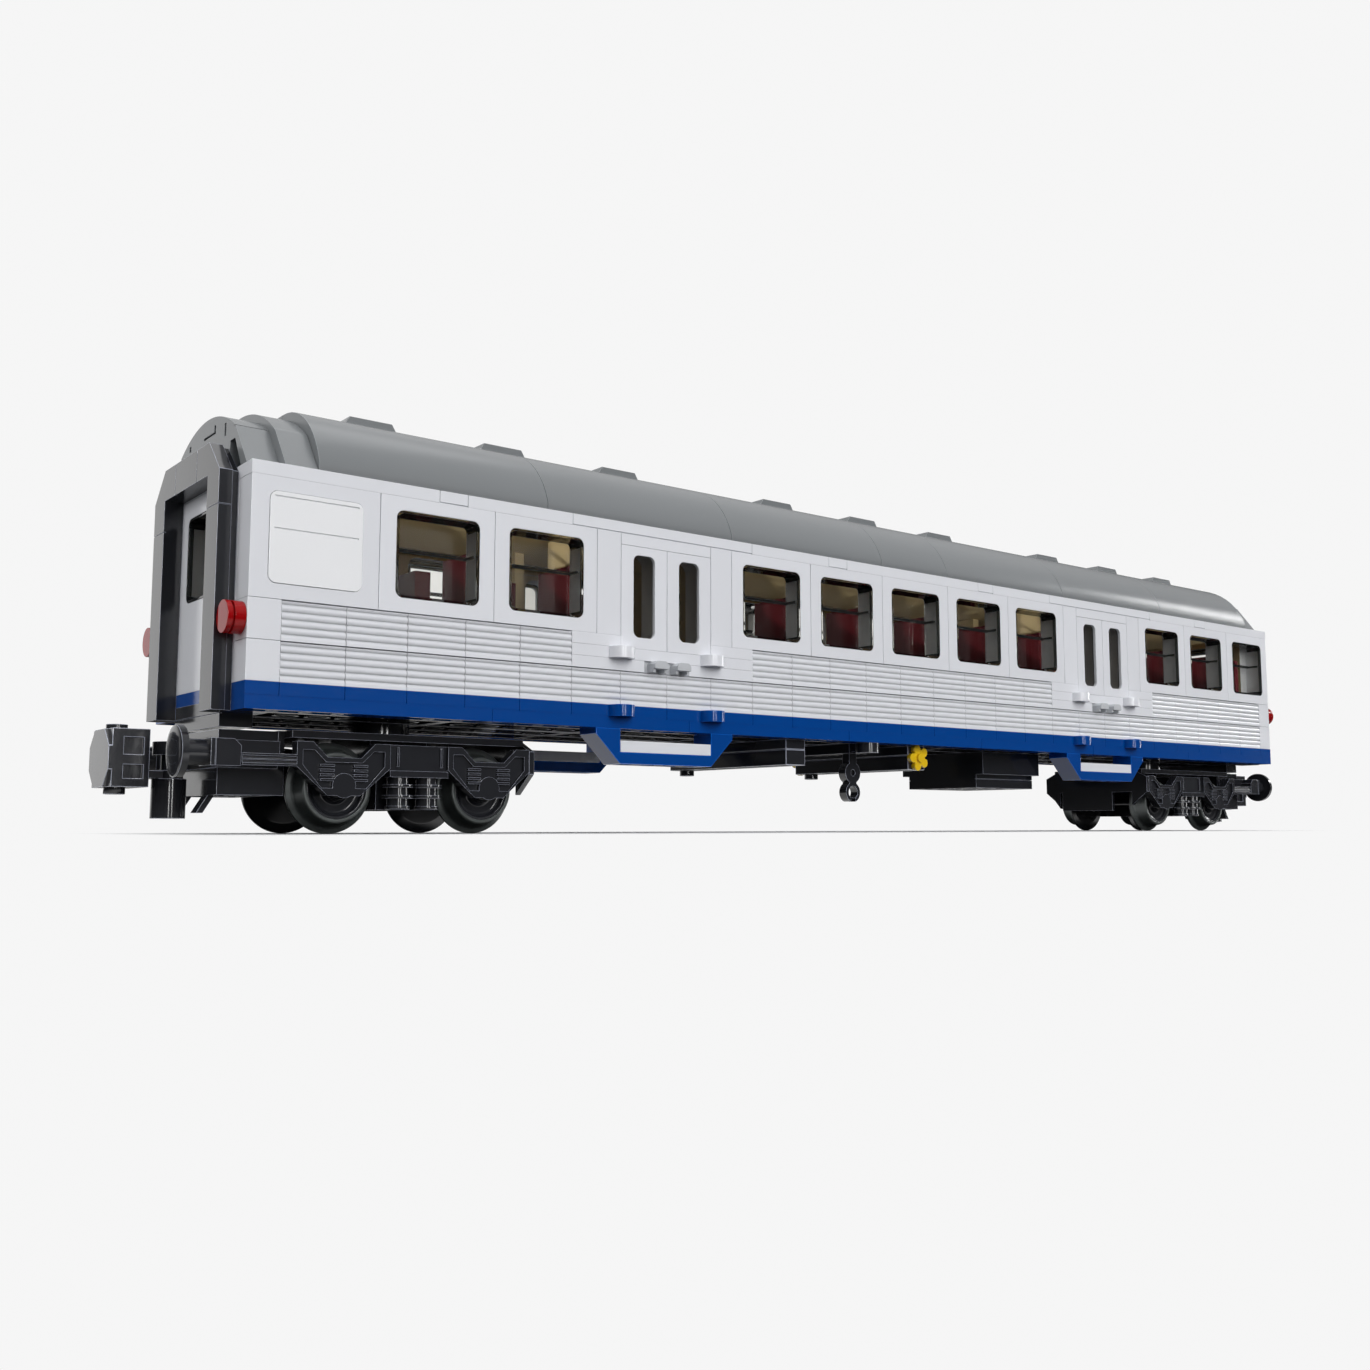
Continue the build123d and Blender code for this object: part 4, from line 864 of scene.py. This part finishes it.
class COACH_OT_bogies(CoachOperator, bpy.types.Operator):
    """Bogie frames, side frames, buffer beams and couplers"""
    bl_idname = "coach.bogies"
    bl_label = "Bogies and couplers"

    def build(self, sizes):
        dress(both("bogie_frame") + both("bogie_sides") + both("buffer_beam") + both("coupler"),
              sizes.black_edge)
        for end, side in ENDS:
            self.buffer_heads(end, side, sizes)

    @staticmethod
    def buffer_heads(end, side, sizes):
        """Crowned discs over the buffers' flat ones."""
        node = f"buffer_beam_{end}"
        low, high = corners(node)
        tip = low.x if side < 0 else high.x
        reach = 20.0 * MM
        radius = (high.y - low.y) / 2 - reach
        rim = 2.2 * MM
        profile = [(-rim, 0.0), (-rim, radius * 0.7)]
        profile += [(-rim + 0.1 * MM, radius + 0.02 * MM), (-0.6 * MM, radius + 0.02 * MM)]
        crown = 8
        for step in range(crown + 1):
            turn = step / crown * math.pi / 2
            profile.append((-0.6 * MM + 0.6 * MM * math.sin(turn), radius * math.cos(turn)))
        bm = bmesh.new()
        for hand in (-1, 1):
            turned(bm, profile, (tip, hand * reach, 28.4 * MM - 9.6 * MM), (side, 0, 0), sizes.steps)
        tidy_turned(bm)
        piece = finished(f"buffer_heads_{end}", bm, finish("black_plastic"))
        place(piece, node)


class COACH_OT_wheels(CoachOperator, bpy.types.Operator):
    """Wheelsets: metal tyres on dished black centres, and axles"""
    bl_idname = "coach.wheels"
    bl_label = "Wheels"

    def build(self, sizes):
        for end, _ in ENDS:
            for number in (1, 2):
                self.wheelset(f"wheelset_{end}{number}", sizes)

    @staticmethod
    def wheelset(node, sizes):
        low, high = corners(node)
        middle = (low + high) / 2
        flange = (high.z - low.z) / 2
        back, front = 13.8 * MM, 20.0 * MM
        root = 15.4 * MM
        tread, edge = 9.6 * MM, 8.7 * MM
        bore = 7.6 * MM
        tyre = [(back + 0.35 * MM, flange - 0.05 * MM), (root - 0.5 * MM, flange),
                (root, tread + 0.35 * MM), (root + 0.4 * MM, tread),
                (front - 0.3 * MM, edge + 0.05 * MM), (front, edge - 0.25 * MM), (front, bore),
                (back + 0.6 * MM, bore)]
        disc = [(back, 2.4 * MM), (back, 8.6 * MM), (back + 0.15 * MM, flange - 0.15 * MM),
                (back + 0.35 * MM, flange - 0.1 * MM), (back + 0.6 * MM, bore + 0.4 * MM),
                (front - 0.35 * MM, bore + 0.02 * MM), (front - 0.35 * MM, 7.0 * MM),
                (front - 1.3 * MM, 6.6 * MM), (front - 1.6 * MM, 5.8 * MM), (front - 1.6 * MM, 4.0 * MM),
                (front - 1.2 * MM, 3.2 * MM), (front - 0.2 * MM, 2.8 * MM), (front + 0.1 * MM, 2.4 * MM),
                (front + 0.1 * MM, 1.2 * MM), (back, 1.2 * MM)]
        metal = bmesh.new()
        black = bmesh.new()
        for side in (-1, 1):
            turned(metal, rounded_profile(tyre, 0.18 * MM), middle, (0, side, 0), sizes.steps)
            turned(black, rounded_profile(disc, 0.2 * MM), middle, (0, side, 0), sizes.steps)
        half = (high.y - low.y) / 2
        axle_r = 1.5 * MM
        axle = rounded_profile([(-half, 0.0), (-half, axle_r), (half, axle_r), (half, 0.0)], 0.2 * MM)
        turned(black, axle, middle, (0, 1, 0), sizes.steps // 2)
        for bm in (metal, black):
            tidy_turned(bm)
        ring = metal.verts.layers.float.new("ring")
        for vert in metal.verts:
            out = vert.co - middle
            vert[ring] = math.hypot(out.x, out.z) + abs(out.y)
        tyres = finished(node + "_tyres", metal, finish("wheel_metal"))
        centres = finished(node + "_centres", black, finish("black_plastic"))
        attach(tyres, BODY_OF[node])
        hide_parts(node)
        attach(centres, BODY_OF[node])
        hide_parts(node)


# ------------------------------------------------------------------ stage

def area_light(name, place_at, target, size, radiance, diffuse=True, glossy=True):
    """Rectangular light that faces its target, with the radiance given."""
    data = bpy.data.lights.new(name, "AREA")
    data.shape = "RECTANGLE"
    data.size, data.size_y = size
    data.energy = radiance * math.pi * size[0] * size[1]
    light = bpy.data.objects.new(name, data)
    light.location = place_at
    aim = Vector(target) - Vector(place_at)
    light.rotation_euler = aim.to_track_quat("-Z", "Y").to_euler()
    light.visible_camera = False
    light.visible_diffuse = diffuse
    light.visible_glossy = glossy
    bpy.context.scene.collection.objects.link(light)
    return light


def floor_finish(studio):
    """Pale floor: shaded beside the coach, plain beyond, clear from below, and a painted glow seen only
    in reflections.
    """
    shade_reach = 30.0 * MM
    glint_near, glint_far = 50.0 * MM, 180.0 * MM
    gear_start, gear_end = 132.0 * MM, 150.0 * MM
    material = bpy.data.materials.new("Floor")
    material.use_nodes = True
    tree = material.node_tree
    shader = tree.nodes["Principled BSDF"]
    shader.inputs["Roughness"].default_value = 0.9
    shader.inputs["Specular IOR Level"].default_value = 0.0
    path = add(tree, "ShaderNodeLightPath")
    seen = math_node(tree, "MAXIMUM", path.outputs["Is Camera Ray"],
                     path.outputs["Is Transmission Ray"])
    bounce = add(tree, "ShaderNodeMapRange", {"To Min": studio.bounce, "To Max": studio.floor})
    tree.links.new(seen.outputs[0], bounce.inputs["Value"])
    tree.links.new(bounce.outputs[0], shader.inputs["Base Color"])
    coords = add(tree, "ShaderNodeTexCoord")
    beyond = add(tree, "ShaderNodeVectorMath", operation="ABSOLUTE")
    tree.links.new(coords.outputs["Object"], beyond.inputs[0])
    outside = add(tree, "ShaderNodeVectorMath", operation="SUBTRACT")
    outside.inputs[1].default_value = (CAD_BOX[1][0] - shade_reach, CAD_BOX[1][1], 0.0)
    tree.links.new(beyond.outputs["Vector"], outside.inputs[0])
    clear_of = add(tree, "ShaderNodeVectorMath", operation="MAXIMUM")
    tree.links.new(outside.outputs["Vector"], clear_of.inputs[0])
    reach = add(tree, "ShaderNodeVectorMath", operation="LENGTH")
    tree.links.new(clear_of.outputs["Vector"], reach.inputs[0])
    along = add(tree, "ShaderNodeSeparateXYZ")
    tree.links.new(beyond.outputs["Vector"], along.inputs[0])
    fade = smooth_step(tree, reach.outputs["Value"], 0.0, shade_reach, 0.0, 1.0)
    # Painted glow: in reflections the floor shines near the coach, except right under the bogies, and
    # dims further out.
    near = smooth_step(tree, reach.outputs["Value"], glint_near, glint_far, studio.glint, 0.02)
    between = smooth_step(tree, along.outputs["X"], gear_start, gear_end, 1.0, 0.0)
    lit = math_node(tree, "MULTIPLY", near, math_node(tree, "MAXIMUM", fade, between))
    glow = add(tree, "ShaderNodeEmission", {"Color": (1, 1, 1, 1), "Strength": studio.background})
    mirrored = add(tree, "ShaderNodeEmission", {"Color": (1, 1, 1, 1)})
    tree.links.new(lit.outputs[0], mirrored.inputs["Strength"])
    plain = mixed(tree, math_node(tree, "MULTIPLY", fade, seen).outputs[0], shader, glow)
    above = mixed(tree, path.outputs["Is Glossy Ray"], plain, mirrored)
    side = add(tree, "ShaderNodeNewGeometry")
    clear = add(tree, "ShaderNodeBsdfTransparent")
    whole = mixed(tree, side.outputs["Backfacing"], above, clear)
    tree.links.new(whole.outputs[0], tree.nodes["Material Output"].inputs["Surface"])
    return material


class COACH_OT_stage(bpy.types.Operator):
    """Floor, white surroundings, lights and camera"""
    bl_idname = "coach.stage"
    bl_label = "Stage"
    bl_options = {"REGISTER", "UNDO"}

    def execute(self, context):
        studio = context.scene.coach_studio
        self.world(studio)
        self.floor(studio)
        self.lights(studio)
        self.camera(studio)
        context.scene.view_settings.view_transform = "Standard"
        return {"FINISHED"}

    @staticmethod
    def world(studio):
        world = bpy.data.worlds.new("Studio")
        bpy.context.scene.world = world
        world.use_nodes = True
        tree = world.node_tree
        output = tree.nodes["World Output"]
        room = tree.nodes["Background"]
        room.inputs["Color"].default_value = (0.95, 0.97, 1.0, 1.0)
        room.inputs["Strength"].default_value = studio.ambient
        white = add(tree, "ShaderNodeBackground", {"Color": (1, 1, 1, 1), "Strength": studio.background})
        dim = add(tree, "ShaderNodeBackground", {"Color": (1, 1, 1, 1)})
        path = add(tree, "ShaderNodeLightPath")
        coords = add(tree, "ShaderNodeTexCoord")
        axes = add(tree, "ShaderNodeSeparateXYZ")
        tree.links.new(coords.outputs["Generated"], axes.inputs[0])
        behind = smooth_step(tree, axes.outputs["Y"], 0.72, 0.95, 0.06, 1.2)
        above = smooth_step(tree, axes.outputs["Z"], 0.15, 0.75, 0.0, 0.8)
        pale = math_node(tree, "MAXIMUM", behind, above)
        tree.links.new(pale.outputs[0], dim.inputs["Strength"])
        seen = math_node(tree, "MAXIMUM", path.outputs["Is Camera Ray"],
                         path.outputs["Is Transmission Ray"])
        unseen = mixed(tree, path.outputs["Is Glossy Ray"], room, dim)
        whole = mixed(tree, seen.outputs[0], unseen, white)
        tree.links.new(whole.outputs[0], output.inputs["Surface"])

    @staticmethod
    def floor(studio):
        bm = bmesh.new()
        bmesh.ops.create_grid(bm, x_segments=1, y_segments=1, size=8.0)
        mesh = bpy.data.meshes.new("floor")
        bm.to_mesh(mesh)
        bm.free()
        floor = bpy.data.objects.new("floor", mesh)
        floor.location.z = CAD_BOX[0][2] - 0.02 * MM
        bpy.context.scene.collection.objects.link(floor)
        mesh.materials.append(floor_finish(studio))
        floor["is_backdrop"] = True

    @staticmethod
    def lights(studio):
        middle = Vector((0, 0, 0.05))
        area_light("Front light", (0.1, -1.6, 0.75), middle, (1.8, 1.3), studio.key, glossy=False)
        area_light("Top light", (-0.2, 0.1, 1.5), middle, (1.6, 1.4), studio.top)
        end = Vector((-0.23, 0.0, 0.05))
        area_light("End light", (-1.4, 0.1, 0.5), end, (0.8, 0.8), studio.key * 0.9, glossy=False)
        for place_at in ((-0.48, -1.32, 0.35), (0.0, -1.4, 0.35), (1.35, -0.36, 0.35)):
            area_light("Strip light", place_at, middle, (0.1, 0.9), studio.strip, diffuse=False)
        travel = Vector((0.75, 0.58, 0.31))
        sun = area_light("Cabin light", middle - travel * 1.6, middle, (0.09, 0.09), studio.cabin,
                         glossy=False)
        low_front = middle + Vector((-0.4, -1.2, -0.35))
        fill = area_light("Cabin fill", low_front, middle, (1.2, 0.5), studio.cabin_fill, glossy=False)
        lit = bpy.data.collections.new("Cabin")
        for name in ("ceiling", "seats_moulded", "partitions_moulded"):
            lit.objects.link(bpy.data.objects[name])
        shading = bpy.data.collections.new("Coach")
        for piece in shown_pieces():
            shading.objects.link(piece)
        for light in (sun, fill):
            light.light_linking.receiver_collection = lit
            light.light_linking.blocker_collection = shading

    @staticmethod
    def camera(studio):
        data = bpy.data.cameras.new("Camera")
        data.sensor_fit = "HORIZONTAL"
        data.sensor_width = 36.0
        data.lens = studio.lens
        data.clip_start = 0.001
        camera = bpy.data.objects.new("Camera", data)
        camera.location = studio.place
        camera.rotation_euler = (math.pi / 2 + studio.pitch, 0.0, -studio.azimuth)
        bpy.context.scene.collection.objects.link(camera)
        bpy.context.scene.camera = camera


PIECE_OPERATORS = (COACH_OT_walls, COACH_OT_ribbed_walls, COACH_OT_sills, COACH_OT_windows,
                   COACH_OT_roof, COACH_OT_gangways, COACH_OT_interior, COACH_OT_underframe,
                   COACH_OT_bogies, COACH_OT_wheels, COACH_OT_stage)


class COACH_PT_panel(bpy.types.Panel):
    """Buttons and settings of the coach"""
    bl_idname = "COACH_PT_panel"
    bl_label = "Passenger coach"
    bl_space_type = "VIEW_3D"
    bl_region_type = "UI"
    bl_category = "Coach"

    def draw(self, context):
        layout = self.layout
        for operator in PIECE_OPERATORS:
            layout.operator(operator.bl_idname)
        for settings in (context.scene.coach_colours, context.scene.coach_sizes,
                         context.scene.coach_studio):
            part = layout.box()
            for item in settings.bl_rna.properties:
                if item.identifier not in {"rna_type", "name"}:
                    part.prop(settings, item.identifier)


CLASSES = (CoachColours, CoachSizes, CoachStudio, *PIECE_OPERATORS, COACH_PT_panel)


def register():
    for item in CLASSES:
        bpy.utils.register_class(item)
    bpy.types.Scene.coach_colours = PointerProperty(type=CoachColours)
    bpy.types.Scene.coach_sizes = PointerProperty(type=CoachSizes)
    bpy.types.Scene.coach_studio = PointerProperty(type=CoachStudio)


def unregister():
    del bpy.types.Scene.coach_studio
    del bpy.types.Scene.coach_sizes
    del bpy.types.Scene.coach_colours
    for item in reversed(CLASSES):
        bpy.utils.unregister_class(item)


def main():
    register()
    for operator in PIECE_OPERATORS:
        area, name = operator.bl_idname.split(".")
        getattr(getattr(bpy.ops, area), name)()


if __name__ == "__main__":
    main()
